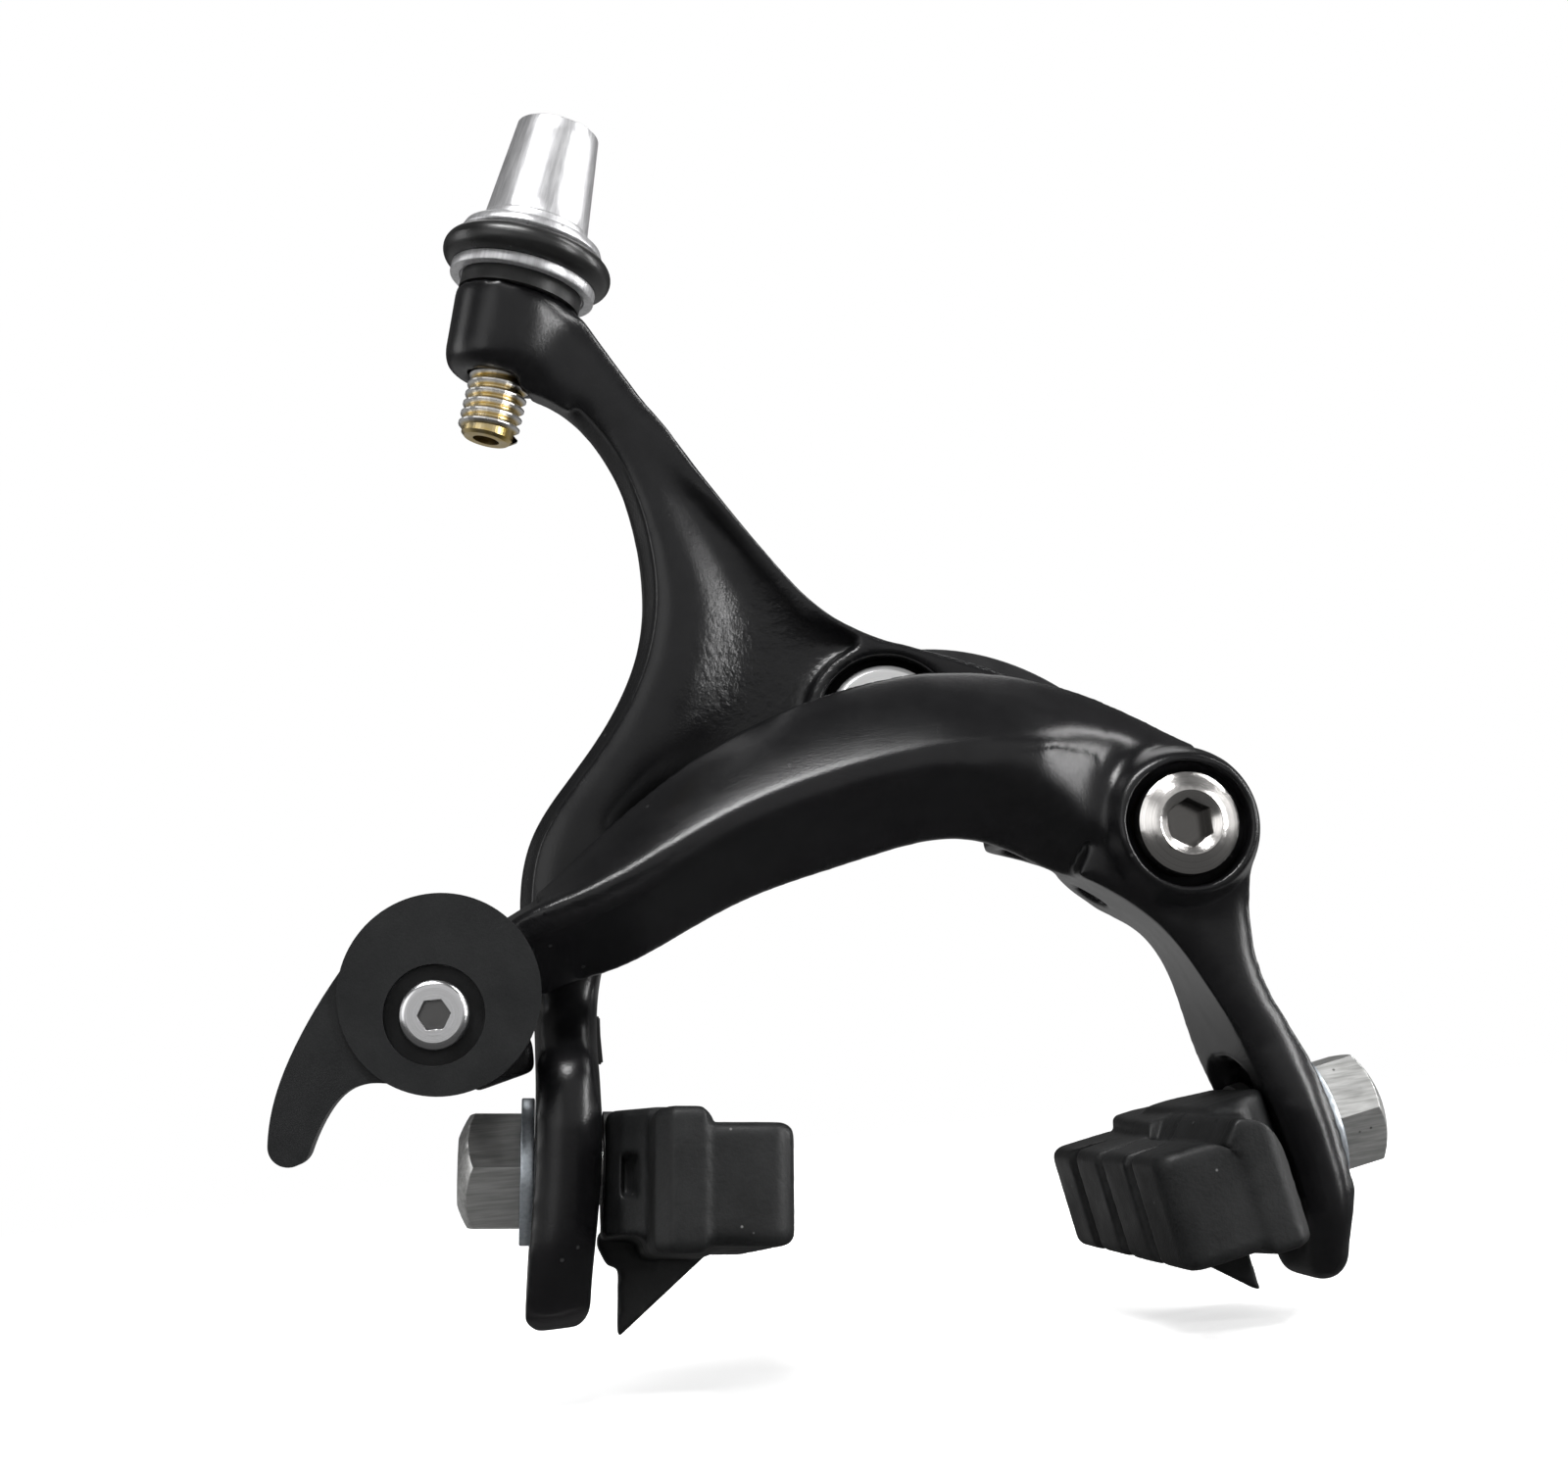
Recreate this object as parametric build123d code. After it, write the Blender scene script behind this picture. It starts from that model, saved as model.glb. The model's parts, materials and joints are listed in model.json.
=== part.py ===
from build123d import *
import os
from math import cos, radians, sin

os.makedirs("parts", exist_ok=True)

# Dual pivot side-pull rim brake, shown with its arms open.
# X runs across the wheel, Z is up and the front of the bicycle is towards -Y.
# The origin is the centre of the mounting bolt on the rear seat of the brake.
# A depth is a distance forward of that seat, in millimetres, as every length is.

# The reach from the bolt to the shoes drives every outline; the outlines are drawn for 41 mm.
reach = 41.0
form = reach / 41

# Layers from the rear seat forward
serrated_thick = 1.6
serrated_r = 8.0
tooth_count = 18
tooth_width = 0.8
bracket_thick = 4.8
thrust_thick = 0.6
y_arm_thick = 7.6
top_taper = 3.2
pocket_depth = 2.4
pocket_slope = 1.3
edge_bevel = 2.4
arm_gap = 0.6
arch_depth = 11.3
arch_draft = 0.8
arch_shoulder = 0.28
arch_round = 0.7
dish_run = 8.6
dish_sink = 2.9

# Mounting bolt and the Y arm's pivot on it
bolt_r = 3.0
bolt_length = 32.0
bolt_seat_r = 3.3
bolt_tip_chamfer = 0.6
journal_r = 3.6
bush_wall = 0.8
running_gap = 0.04
hub_r = 8.1
hub_recess_r = 6.7
hub_recess_depth = 3.6
centre_nut_r = 5.8
centre_nut_thick = 3.0
nut_lift = 0.1
nut_cap_lap = 0.4
nut_chamfer = 0.5

# Side pivot of the C arm
side_pivot_x = 24.5 * form
side_pivot_z = -13.3 * form
boss_r = 7.6
boss_rim_r = 6.4
boss_front = 26.8
boss_shoulder = 3.0
pivot_head_r = 4.7
pivot_head_thick = 3.0
pivot_head_proud = 0.4
pivot_head_rim = 0.9
pivot_head_slope = 1.9
pivot_socket_depth = 2.6
pivot_socket_bevel = 1.1
pivot_socket_af = 4.0
head_recess_gap = 1.1
pivot_thread_r = 3.0

# Bracket
bracket_hub_r = 8.3
bracket_end_r = 6.0
spring_post_r = 1.6
spring_post_x = -13.0
spring_post_z = 0.0
wing_r = 3.0
wing_front = 4.0

# Return spring and the slider that its free end bears on
wire_r = 0.9
wire_depth = 5.3
wire_bore_gap = 0.1
wire_lift = 0.05
hook_length = 5.5
hook_over = 0.4
bend_r = 2.5
slider_width = 5.0
slider_height = 4.4
slider_rear = 3.6

# Legs and shoe slots
leg_rear = 8.0
leg_front = 23.6
slot_width = 6.4
slot_length = 13.5
slot_above_stud = 7.2
spot_width = 13.6
spot_above = 8.2
spot_below = 9.0
shoe_depth = 15.0
foot_round = 1.6
foot_slope = 7.1
leg_step_round = 4.0

# Cable boss and adjuster on the Y arm
cable_x = -32.8 * form
cable_z = 41.0 * form
cable_depth = 10.8
cable_lean = 17.7
cable_boss_r = 6.2
cable_boss_low_r = 5.7
cable_boss_round = 1.8
cable_boss_down = 3.6
cable_boss_up = 4.8
thread_r = 3.0
thread_pitch = 1.0
thread_depth = 0.5
cable_bore_r = 1.3
housing_r = 2.6
housing_depth = 9.0
seat_thick = 1.6
seat_r = 6.0
seat_gap = 0.2
seat_sunk = 0.2
flange_r = 7.2
flange_thick = 1.3
low_flange_thick = 1.1
groove_r = 5.5
ring_section_r = 1.45
collar_r = 5.6
collar_height = 1.2
flange_bevel = 0.4
collar_draft = 0.2
cone_base_r = 5.2
cone_top_r = 4.1
cone_height = 10.4
barrel_below = 9.6
barrel_above = 7.0

# Quick release and cable clamp at the end of the C arm
end_x = -44.0 * form
end_z = -21.9 * form
end_r = 8.1
end_run = 6.5
end_rise = 4.5
end_front = 25.0
end_thick = 8.0
end_tab_thick = 2.4
lever_disc_r = 8.6
lever_thick = 4.8
lever_gap = 0.3
tail_drop = 0.5
qr_x = -44.6 * form
qr_z = -23.6 * form
qr_shaft_r = 3.0
qr_head_r = 3.05
qr_head_thick = 2.2
qr_recess_r = 4.3
qr_recess_depth = 1.6
qr_screw_r = 1.5
qr_screw_grip = 3.0
qr_shaft_sunk = 1.2
qr_flange_lap = 1.5
qr_flange_thick = 1.2
clamp_turn = 20
qr_socket_af = 2.5
clamp_pin_r = 2.5
clamp_plate_size = 8.6
clamp_plate_thick = 1.6
cable_gap = 1.6
clamp_nut_af = 8.0
clamp_nut_thick = 4.0

# Brake shoes
shoe_length = 40.0
stud_rise = 1.7
block_thick = 7.5
block_height = 10.2
block_drop = 0.35
block_corner_r = 2.0
block_rim_r = 1.1
block_inset = 0.3
carrier_height = 12.1
carrier_thick = 4.3
carrier_hump = 2.5
carrier_swell = 1.9
carrier_slant = 1.4
carrier_slant_run = 2.0
carrier_rim_r = 0.8
hump_half = 6.0
hump_rise = 5.0
hump_foot = 11.0
groove_count = 3
groove_width = 2.4
groove_floor = 0.8
groove_depth = 3.8
fin_height = 7.1
fin_width = 8.4
fin_thick = 2.0
fin_depth = 7.0
fin_inset = 0.7
fin_lap = 0.5
stud_r = 3.0
stud_embed = 5.0
stud_sunk = 0.8
spacer_r = 5.4
spacer_thick = 1.2
washer_r = 6.6
washer_thick = 1.2
nut_af = 10.0
nut_length = 6.1
nut_dome_r = 9.4
left_stud = (-31.3 * form, -38.9 * form)
left_leg_width = 6.2
left_tilt = 6.4
left_pitch = -5.8
right_stud = (30.6 * form, -42.8 * form)
right_leg_width = 5.0
right_tilt = 10.0
right_pitch = -1.0
left_foot_drop = 13.4
right_foot_drop = 14.7

# Screws in the C arm's lug
lug_left = 9.1
lug_low = -12.8
lug_thick = 3.4
lug_overlap = 1.5
screw_depth = 11.6
contact_screw_r = 1.8
contact_screw_length = 5.8
contact_screw_low = 0.8
contact_screw_reach = 6.8
contact_gap = 0.3
set_screw_r = 1.6
set_screw_length = 3.0
set_screw_left = 5.5
set_screw_low = 4.5
thread_gap = 0.02

# Depths that follow from the layers
bracket_front = serrated_thick + bracket_thick
arm_rear = bracket_front + thrust_thick
y_front = arm_rear + y_arm_thick
c_rear = y_front + arm_gap
ridge_front = c_rear + arch_depth
end_rear = end_front - end_thick
recess_floor = y_front - hub_recess_depth
knob_low = cable_boss_up + seat_thick - seat_sunk
bush_r = journal_r + running_gap + bush_wall
head_recess_r = pivot_head_r + head_recess_gap
head_rear = boss_front - pivot_head_thick + pivot_head_proud


def at(depth):
    """The front view plane at a depth, with X to the right, Z up and its normal forward."""
    return Plane.XZ.offset(depth)


def side(x):
    """The side view plane at x, with depth to its right and Z up; its normal is -X."""
    return Plane(origin=(x, 0, 0), x_dir=(0, -1, 0), z_dir=(-1, 0, 0))


def drawn(*points):
    """Points of an outline, sized from the reach that they are drawn for to the brake's own."""
    return [(x * form, z * form) for x, z in points]


def disc(x, z, radius, rear, front):
    return extrude(at(rear) * Pos(x, z) * Circle(radius), front - rear)


def ring(x, z, outer, inner, rear, front):
    return disc(x, z, outer, rear, front) - disc(x, z, inner, rear, front)


def hex_prism(x, z, flats, rear, front, turn=0):
    outline = RegularPolygon(flats / 2, 6, major_radius=False, rotation=turn)
    return extrude(at(rear) * Pos(x, z) * outline, front - rear)


def rounded_section(plane, points, radius):
    """A closed polygon on a plane with its corners rounded."""
    face = make_face(Polyline(*points, close=True))
    return plane * fillet(face.vertices(), radius)


def arch_section(x, z, angle, up, down, share, nose):
    """One section of the C arm's arch: a flat back, and two slopes that meet at a rounded front ridge."""
    a = radians(angle)
    (x, z), (up, down) = drawn((x, z), (up, down))
    plane = Plane(origin=(x, -c_rear, z), x_dir=(0, -1, 0), z_dir=(-cos(a), 0, -sin(a)))
    depth = share * arch_depth
    shoulder = arch_shoulder * depth
    points = [(0, up - arch_draft), (shoulder, up), (depth, nose), (depth, -nose), (shoulder, -down),
              (0, arch_draft - down)]
    return rounded_section(plane, points, arch_round)


def arch():
    """The arch, lofted along the line of its front ridge from the cable end to the side pivot."""
    start = ((end_x + end_run) / form, (end_z + end_rise) / form)
    stations = [
        (*start, 24, 2.2, 5.8, 0.814, 1.2),
        (-30.0, -15.1, 22, 3.9, 6.1, 0.938, 1.1),
        (-22.0, -11.7, 23, 5.9, 6.1, 0.982, 1.0),
        (-14.0, -8.4, 19, 7.2, 6.7, 1.0, 1.0),
        (-5.0, -6.2, 10, 8.2, 6.9, 1.0, 1.0),
        (4.0, -5.4, -1, 8.6, 6.7, 1.0, 1.2),
        (11.5, -6.8, -14, 9.2, 7.4, 0.982, 2.2),
        (18.0, -9.4, -27, 9.2, 8.0, 0.938, 3.4),
        (23.6, -12.8, -36, 9.4, 7.2, 0.867, 4.0),
    ]
    return loft([arch_section(*s) for s in stations])


def arch_dish():
    """The hollow between the two branches of the ridge, sinking from its apex towards the pivot boss."""
    apex, upper, lower = drawn((9.6, -7.3), (11.9, -5.5), (11.4, -9.9))
    branch_up = Spline(apex, upper, *drawn((15.2, -4.0), (20.0, -3.4), (26.0, -6.0)))
    branch_down = Spline(apex, lower, *drawn((13.8, -12.8), (16.8, -15.8), (21.0, -18.5)))
    outline = make_face([branch_up, branch_down, Line(branch_up @ 1, branch_down @ 1)])
    sink = Plane(origin=(apex[0], -ridge_front, apex[1]), x_dir=(dish_run, dish_sink, 0),
                 z_dir=(dish_sink, -dish_run, 0))
    above = Pos(0, 0, reach / 2) * Box(2 * reach, 2 * reach, reach)
    return extrude(at(c_rear) * outline, 2 * arch_depth) & sink * above


def leg_front_outline(inner, outer, top, toe):
    """A leg in front view: an inner and an outer curve, closed by a rounded toe and by lines at the top."""
    closing = Polyline(inner[0], *top, outer[0])
    foot = ThreePointArc(inner[-1], toe, outer[-1])
    return make_face([Spline(*inner), foot, Spline(*outer), *closing.edges()])


def leg_side_outline(points, step_round=0):
    """The side outline of a leg with its foot rounded, and with the two corners of its front step if wished."""
    face = make_face(Polyline(*points, close=True))
    if step_round:
        face = fillet(face.vertices().sort_by(Axis.Y)[5:7], step_round)
    return fillet(face.vertices().sort_by(Axis.Y)[:4], foot_round)


def foot_corners(foot):
    """The corners of a leg's end in side view, from the front down and round to the rear."""
    return [(leg_front, foot + foot_slope), (leg_front - 0.3 * foot_slope, foot + 0.28 * foot_slope),
            (leg_front - foot_slope, foot), (leg_rear + foot_slope / 2, foot + 0.1 * foot_slope),
            (leg_rear, foot + 0.85 * foot_slope)]


def stud_slot(stud, tilt, width):
    """The long hole of a leg, cut along the tilted stud axis."""
    x, z = stud
    side_sign = 1 if x > 0 else -1
    oval = side(0) * Pos(shoe_depth, 0) * Rot(0, 0, 90) * SlotOverall(slot_length, slot_width)
    cut = extrude(oval, width, both=True)
    return Pos(x, 0, z - slot_length / 2 + slot_above_stud) * Rot(0, -side_sign * tilt, 0) * cut


def leg_spots(stud, tilt, leg_width, right):
    """What is cut off both sides of a leg, as long rounded spot faces for the spacer and the washer."""
    height = spot_above + spot_below
    oval = Pos(shoe_depth, (spot_above - spot_below) / 2) * Rot(0, 0, 90) * SlotOverall(height, spot_width)
    oval = side(0) * oval
    cuts = Pos(leg_width, 0, 0) * extrude(oval, -spot_width) + extrude(oval, spot_width)
    if not right:
        cuts = cuts.mirror(Plane.YZ)
    x, z = stud
    turn = -tilt if right else tilt
    return Pos(x, 0, z) * Rot(0, turn, 0) * cuts


def c_leg():
    """The right leg, its inner side leaning from the rear outline to the front one."""
    outer = drawn((31.5, -12.0), (30.7, -18.4), (30.2, -24.6), (31.1, -29.2), (33.2, -33.8),
                  (34.8, -37.8), (36.3, -45.4), (36.6, -49.2), (35.9, -53.0))
    inner_front = drawn((14.2, -16.9), (18.6, -19.6), (22.2, -23.2), (25.0, -27.8), (27.6, -33.0),
                        (29.5, -38.6), (31.2, -44.8), (31.9, -49.6), (32.1, -54.9))
    inner_rear = drawn((16.2, -15.5), (20.9, -19.9), (24.1, -22.5), (26.3, -27.0), (27.4, -33.0),
                       (29.0, -38.2), (31.0, -44.8), (31.9, -49.6), (32.1, -54.9))
    top = drawn((18.5, -9.0), (24.0, -7.5))
    toe = drawn((33.9, -56.3))[0]
    rear = at(arm_rear) * leg_front_outline(inner_rear, outer, top, toe)
    front = at(leg_front) * leg_front_outline(inner_front, outer, top, toe)
    foot = right_stud[1] - right_foot_drop
    rear_step = side_pivot_z - boss_r
    profile = [(arm_rear, 0), (leg_front, 0), *foot_corners(foot), (leg_rear, rear_step - 1),
               (arm_rear, rear_step + 1)]
    return loft([rear, front]) & extrude(side(reach) * leg_side_outline(profile), 0.9 * reach)


def c_lug():
    """The shelf behind the arch that carries the screws."""
    under = Spline(*drawn((lug_left, lug_low), (13.7, -14.4), (17.8, -16.6), (21.5, -20.6)))
    over = Polyline(*drawn((21.5, -20.6), (24.0, -13.2), (17.5, -11.4), (lug_left, lug_low + lug_thick),
                           (lug_left, lug_low)))
    return extrude(at(leg_rear) * make_face([under, *over.edges()]), c_rear - leg_rear + lug_overlap)


def end_tab():
    """The pointed stop behind the quick release disc."""
    corners = drawn((0, 0), (7.5, -4.5), (7.5, -7.3), (2.1, -8.6))
    outline = Polyline(*[(end_x + x, end_z + z) for x, z in corners], close=True)
    return extrude(at(end_rear) * make_face(outline), end_tab_thick)


def pivot_boss():
    """The boss round the side pivot, with a rounded shoulder in front."""
    x, z = side_pivot_x, side_pivot_z
    body = disc(x, z, boss_r, arm_rear, boss_front)
    return chamfer(body.edges().sort_by(Axis.Y)[0], boss_shoulder, boss_r - boss_rim_r)


def c_arm():
    body = arch() - arch_dish() + c_leg() + c_lug()
    body += pivot_boss()
    body += disc(end_x, end_z, end_r, end_rear, end_front) + end_tab()
    body -= disc(side_pivot_x, side_pivot_z, bush_r, 0, boss_front)
    body -= disc(side_pivot_x, side_pivot_z, head_recess_r, head_rear, 40)
    body -= disc(qr_x, qr_z, qr_shaft_r + running_gap, 0, 40)
    body -= stud_slot(right_stud, right_tilt, 12)
    body -= leg_spots(right_stud, right_tilt, right_leg_width, True)
    body -= lug_screw_hole(contact_screw_axis(), contact_screw_r, contact_screw_length)
    body -= lug_screw_hole(set_screw_axis(), set_screw_r, set_screw_length)
    return body


def contact_screw_axis():
    """Where the contact screw stands: under the lug, square to it, aimed at the horn."""
    x, z = drawn((11.85, -13.7))[0]
    return Plane(origin=(x, -screw_depth, z), z_dir=(0.42, 0, 0.907))


def set_screw_axis():
    x, z = side_pivot_x - set_screw_left, side_pivot_z - set_screw_low
    return Plane(origin=(x, -screw_depth, z), z_dir=(1, 0, 1))


def lug_screw_hole(plane, radius, depth):
    return plane * Pos(0, 0, depth / 2 - 1.5) * Cylinder(radius, depth + 3)


def y_left_edge():
    """The outer edge of the Y arm in front view, from the left foot up to the cable boss."""
    return drawn((-39.4, -51.0), (-38.5, -45.0), (-37.5, -38.6), (-36.7, -32.0), (-36.3, -25.0),
                 (-36.6, -15.0), (-34.9, -7.6), (-29.8, -1.0), (-24.5, 6.4), (-22.1, 13.5),
                 (-22.1, 20.5), (-24.2, 28.2), (-27.6, 33.2), (-32.0, 35.8))


def y_outline():
    """The Y arm in front view, from the cable boss to the left leg and the horn."""
    right = drawn((-25.4, 42.7), (-19.4, 32.5), (-14.3, 24.5), (-9.0, 16.6), (-5.3, 12.1), (0.4, 8.4),
                  (5.8, 6.5), (10.4, 4.7), (14.4, 2.7), (17.2, 0.2))
    tip = drawn((17.2, 0.2), (18.2, -3.0), (17.0, -5.6))
    under = drawn((17.0, -5.6), (10.0, -7.2), (0.0, -9.0), (-10.0, -8.8), (-19.0, -9.8), (-25.8, -14.0),
                  (-29.4, -20.5), (-30.8, -30.0), (-31.6, -39.0), (-32.9, -46.0), (-33.6, -50.6))
    foot = drawn((-33.6, -50.6), (-36.6, -52.9), (-39.4, -51.0))
    top = drawn((-32.0, 35.8), (-33.5, 42.0), (-29.5, 44.6), (-25.4, 42.7))
    rounds = [ThreePointArc(*tip), ThreePointArc(*foot)]
    sweeps = [Spline(*right), Spline(*under), Spline(*y_left_edge())]
    return make_face([*rounds, *sweeps, *Polyline(*top).edges()])


def y_side_outline():
    """The Y arm from the side: a plate, with the left leg standing forward of it."""
    foot = left_stud[1] - left_foot_drop
    step = left_stud[1] + 14.9
    over = cable_z + 19
    points = [(arm_rear + top_taper, over), (y_front, over), (y_front, step), (leg_front, step - 4.4),
              *foot_corners(foot), (leg_rear, step + 2), (arm_rear, step + 6), (arm_rear, cable_z - 25),
              (arm_rear + top_taper, cable_z - 15)]
    return leg_side_outline(points, leg_step_round)


def pushed_out(points, amount):
    """A closed run of points with each one moved outwards, square to the line through its neighbours."""
    moved = []
    for i, (x, z) in enumerate(points):
        ahead, behind = points[(i + 1) % len(points)], points[i - 1]
        along = Vector(ahead[0] - behind[0], ahead[1] - behind[1], 0).normalized()
        moved.append((x + amount * along.Y, z - amount * along.X))
    return moved


def y_pocket():
    """The sunken field between the two ribs, as a tool to cut away; its walls slope."""
    floor = drawn((-4.0, -7.0), (-2.0, 0.0), (-2.0, 7.0), (-6.4, 10.8), (-10.8, 16.4), (-16.6, 25.0),
                  (-23.0, 34.6), (-20.6, 28.0), (-17.3, 20.0), (-15.2, 13.0), (-17.2, 5.6), (-21.4, -1.4),
                  (-27.0, -7.6), (-20.0, -7.4), (-12.0, -6.4))
    low = at(y_front - pocket_depth) * make_face(Spline(*floor, periodic=True))
    high = at(y_front + 0.01) * make_face(Spline(*pushed_out(floor, pocket_slope), periodic=True))
    return loft([low, high])


def y_edge_cut():
    """A long bevel on the front of the Y arm's outer edge, which gives the left rib its broad round."""
    line = at(y_front) * Spline(*y_left_edge()[4:13])
    corner = Plane(origin=line @ 0, x_dir=(0, -1, 0), z_dir=line % 0)
    wedge = Polyline((1, 1), (1, -edge_bevel), (0, -edge_bevel), (-edge_bevel, 0), (-edge_bevel, 1),
                     close=True)
    return sweep(corner * make_face(wedge), path=line)


def cable_axis():
    """The cable's line through the boss, leaning with the open arm; local Z runs up along it."""
    lean = radians(cable_lean)
    return Plane(origin=(cable_x, -cable_depth, cable_z), x_dir=(cos(lean), 0, -sin(lean)),
                 z_dir=(sin(lean), 0, cos(lean)))


def tube(outer, inner, low, high):
    """A ring on the cable's line between two heights."""
    body = Pos(0, 0, (low + high) / 2) * Cylinder(outer, high - low)
    return body - Pos(0, 0, (low + high) / 2) * Cylinder(inner, high - low)


def y_arm():
    body = extrude(at(0) * y_outline(), 30) & extrude(side(reach) * y_side_outline(), 2 * reach)
    body -= y_pocket()
    body -= y_edge_cut()
    middle = (cable_boss_up - cable_boss_down) / 2
    boss = Pos(0, 0, middle) * Cone(cable_boss_low_r, cable_boss_r, cable_boss_up + cable_boss_down)
    boss = fillet(boss.edges().filter_by(GeomType.CIRCLE).sort_by(Axis.Z)[0], cable_boss_round)
    body += cable_axis() * boss
    body -= cable_axis() * Pos(0, 0, cable_boss_up + 10) * Cylinder(12, 20)
    body += disc(0, 0, hub_r, arm_rear, y_front)
    body -= disc(0, 0, bush_r, 0, 40)
    body -= disc(0, 0, hub_recess_r, recess_floor, 40)
    body -= cable_axis() * Cylinder(thread_r + running_gap, 30)
    body -= stud_slot(left_stud, left_tilt, 12)
    body -= leg_spots(left_stud, left_tilt, left_leg_width, False)
    return body


def bracket():
    """The fixed plate that joins the two pivots, with a small wing for the spring."""
    over = drawn((1.2, 8.1), (9.4, 7.9), (16.3, 5.3), (22.9, 0.2), (28.6, -8.6))
    under = drawn((20.5, -17.6), (16.0, -13.8), (10.0, -10.8), (3.0, -8.4), (-3.0, -7.5))
    web = make_face([Spline(*over), Line(over[-1], under[0]), Spline(*under), Line(under[-1], over[0])])
    plate = extrude(at(serrated_thick) * web, bracket_thick)
    plate += disc(0, 0, bracket_hub_r, serrated_thick, bracket_front)
    plate += disc(side_pivot_x, side_pivot_z, bracket_end_r, serrated_thick, bracket_front)
    wing = Pos(spring_post_x / 2, spring_post_z / 2) * Rectangle(-spring_post_x, 2 * wing_r)
    plate += extrude(at(serrated_thick) * wing, wing_front - serrated_thick)
    plate += disc(spring_post_x, spring_post_z, wing_r, serrated_thick, wing_front)
    plate -= disc(0, 0, bolt_seat_r, 0, 20)
    plate -= disc(side_pivot_x, side_pivot_z, pivot_thread_r, 0, 20)
    plate -= disc(spring_post_x, spring_post_z, spring_post_r, 0, 20)
    return plate


def serrated_washer():
    """A toothed washer that bites the fork crown."""
    body = ring(0, 0, serrated_r, bolt_seat_r, 0, serrated_thick)
    for i in range(tooth_count):
        notch = Pos(serrated_r, 0) * Rectangle(2 * tooth_width, tooth_width)
        body -= extrude(at(0) * Rot(0, 0, i * 360 / tooth_count) * notch, serrated_thick / 2)
    return body


def centre_bolt():
    shank = disc(0, 0, bolt_r, -bolt_length, 0)
    shank = chamfer(shank.edges().sort_by(Axis.Y)[-1], bolt_tip_chamfer)
    shank += disc(0, 0, bolt_seat_r, 0, bracket_front)
    journal = disc(0, 0, journal_r, bracket_front, recess_floor + nut_lift)
    tip = disc(0, 0, bolt_r, recess_floor, recess_floor + centre_nut_thick)
    return shank + journal + tip


def centre_nut():
    rear = recess_floor + nut_lift
    body = ring(0, 0, centre_nut_r, bolt_r, rear, rear + centre_nut_thick)
    body += disc(0, 0, bolt_r + nut_cap_lap, recess_floor + centre_nut_thick, rear + centre_nut_thick)
    front_edge = body.edges().filter_by(GeomType.CIRCLE).sort_by(Axis.Y)[0]
    return chamfer(front_edge, nut_chamfer)


def side_pivot_bolt():
    """Bolt with a conical head, a bevelled hexagon socket and a journal for the C arm."""
    x, z = side_pivot_x, side_pivot_z
    head_front = head_rear + pivot_head_thick
    body = disc(x, z, pivot_thread_r, serrated_thick, bracket_front)
    body += disc(x, z, journal_r, bracket_front, head_rear)
    head = disc(x, z, pivot_head_r, head_rear, head_front)
    body += chamfer(head.edges().sort_by(Axis.Y)[0], pivot_head_rim, pivot_head_slope)
    body -= hex_prism(x, z, pivot_socket_af, head_front - pivot_socket_depth, head_front + 1, 30)
    flare = 0.6 * pivot_socket_bevel
    socket_r = pivot_socket_af / 2
    bevel = at(head_front - flare / 2) * Pos(x, z) * Cone(socket_r, socket_r + pivot_socket_bevel, flare)
    return body - bevel


def bush(x, z, rear, front):
    return ring(x, z, bush_r, journal_r + running_gap, rear, front)


def wire_path():
    """The spring's line: hooked over its post, then down behind the Y arm to the left leg."""
    turn = spring_post_r + wire_r + wire_lift
    x, z = spring_post_x, spring_post_z
    low = drawn((-31.6, -14.0), (-32.6, -28.4))
    hook = [(x + turn, z - hook_length), (x + turn, z + turn), (x - turn - hook_over, z + turn)]
    bends = FilletPolyline(*hook, *low, radius=bend_r)
    return at(wire_depth) * bends


def return_spring():
    line = wire_path()
    section = Plane(origin=line @ 0, z_dir=line % 0) * Circle(wire_r)
    return sweep(section, path=line)


def spring_slider():
    """A moulded block on the rear of the left leg that the spring's free end slides in."""
    line = wire_path()
    middle = line @ 0.97
    place = Plane(origin=middle, x_dir=(0, 1, 0), z_dir=line % 0.97)
    block = place * Box(2 * (wire_depth - slider_rear), slider_width, slider_height)
    foot = Box(slider_width, leg_rear - slider_rear, slider_height)
    foot = Pos(middle.X, -(slider_rear + leg_rear) / 2, middle.Z) * foot
    return block + foot - place * Cylinder(wire_r + wire_bore_gap, 3 * slider_height)


def rim_edges(body):
    """The edges round the top and the bottom face of a block."""
    faces = body.faces().sort_by(Axis.Z)
    return faces[-1].edges() + faces[0].edges()


def wear_groove():
    """A groove's cutter: wide at the rubbing face, and narrow at its floor."""
    mouth, floor = groove_width / 2, groove_floor / 2
    section = Polyline((-1, -mouth), (0, -mouth), (groove_depth, -floor), (groove_depth, floor), (0, mouth),
                       (-1, mouth), close=True)
    return extrude(make_face(section), block_height, both=True)


def shoe_block():
    """The rubbing block with its wear grooves, drawn about the stud's height."""
    block = Pos(block_thick / 2, 0, 0) * Box(block_thick, shoe_length - 2 * block_inset, block_height)
    block = fillet(block.edges().filter_by(Axis.Z).group_by(Axis.X)[0], block_corner_r)
    block = fillet(rim_edges(block), block_rim_r)
    pitch = shoe_length / (groove_count + 1)
    for i in range(groove_count):
        block -= Pos(0, (i - (groove_count - 1) / 2) * pitch, 0) * wear_groove()
    return Pos(0, 0, -stud_rise - block_drop) * block


def carrier_plan():
    """The carrier from above: slanted ends at its back, and a side that swells over the block."""
    half = shoe_length / 2
    back = block_thick + carrier_thick
    ends = Polyline((block_thick, -half), (back - carrier_slant, -half), (back, carrier_slant_run - half),
                    (back, half - carrier_slant_run), (back - carrier_slant, half), (block_thick, half))
    swell = ThreePointArc((block_thick, half), (block_thick - carrier_swell, 0), (block_thick, -half))
    return make_face([*ends.edges(), swell])


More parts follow.
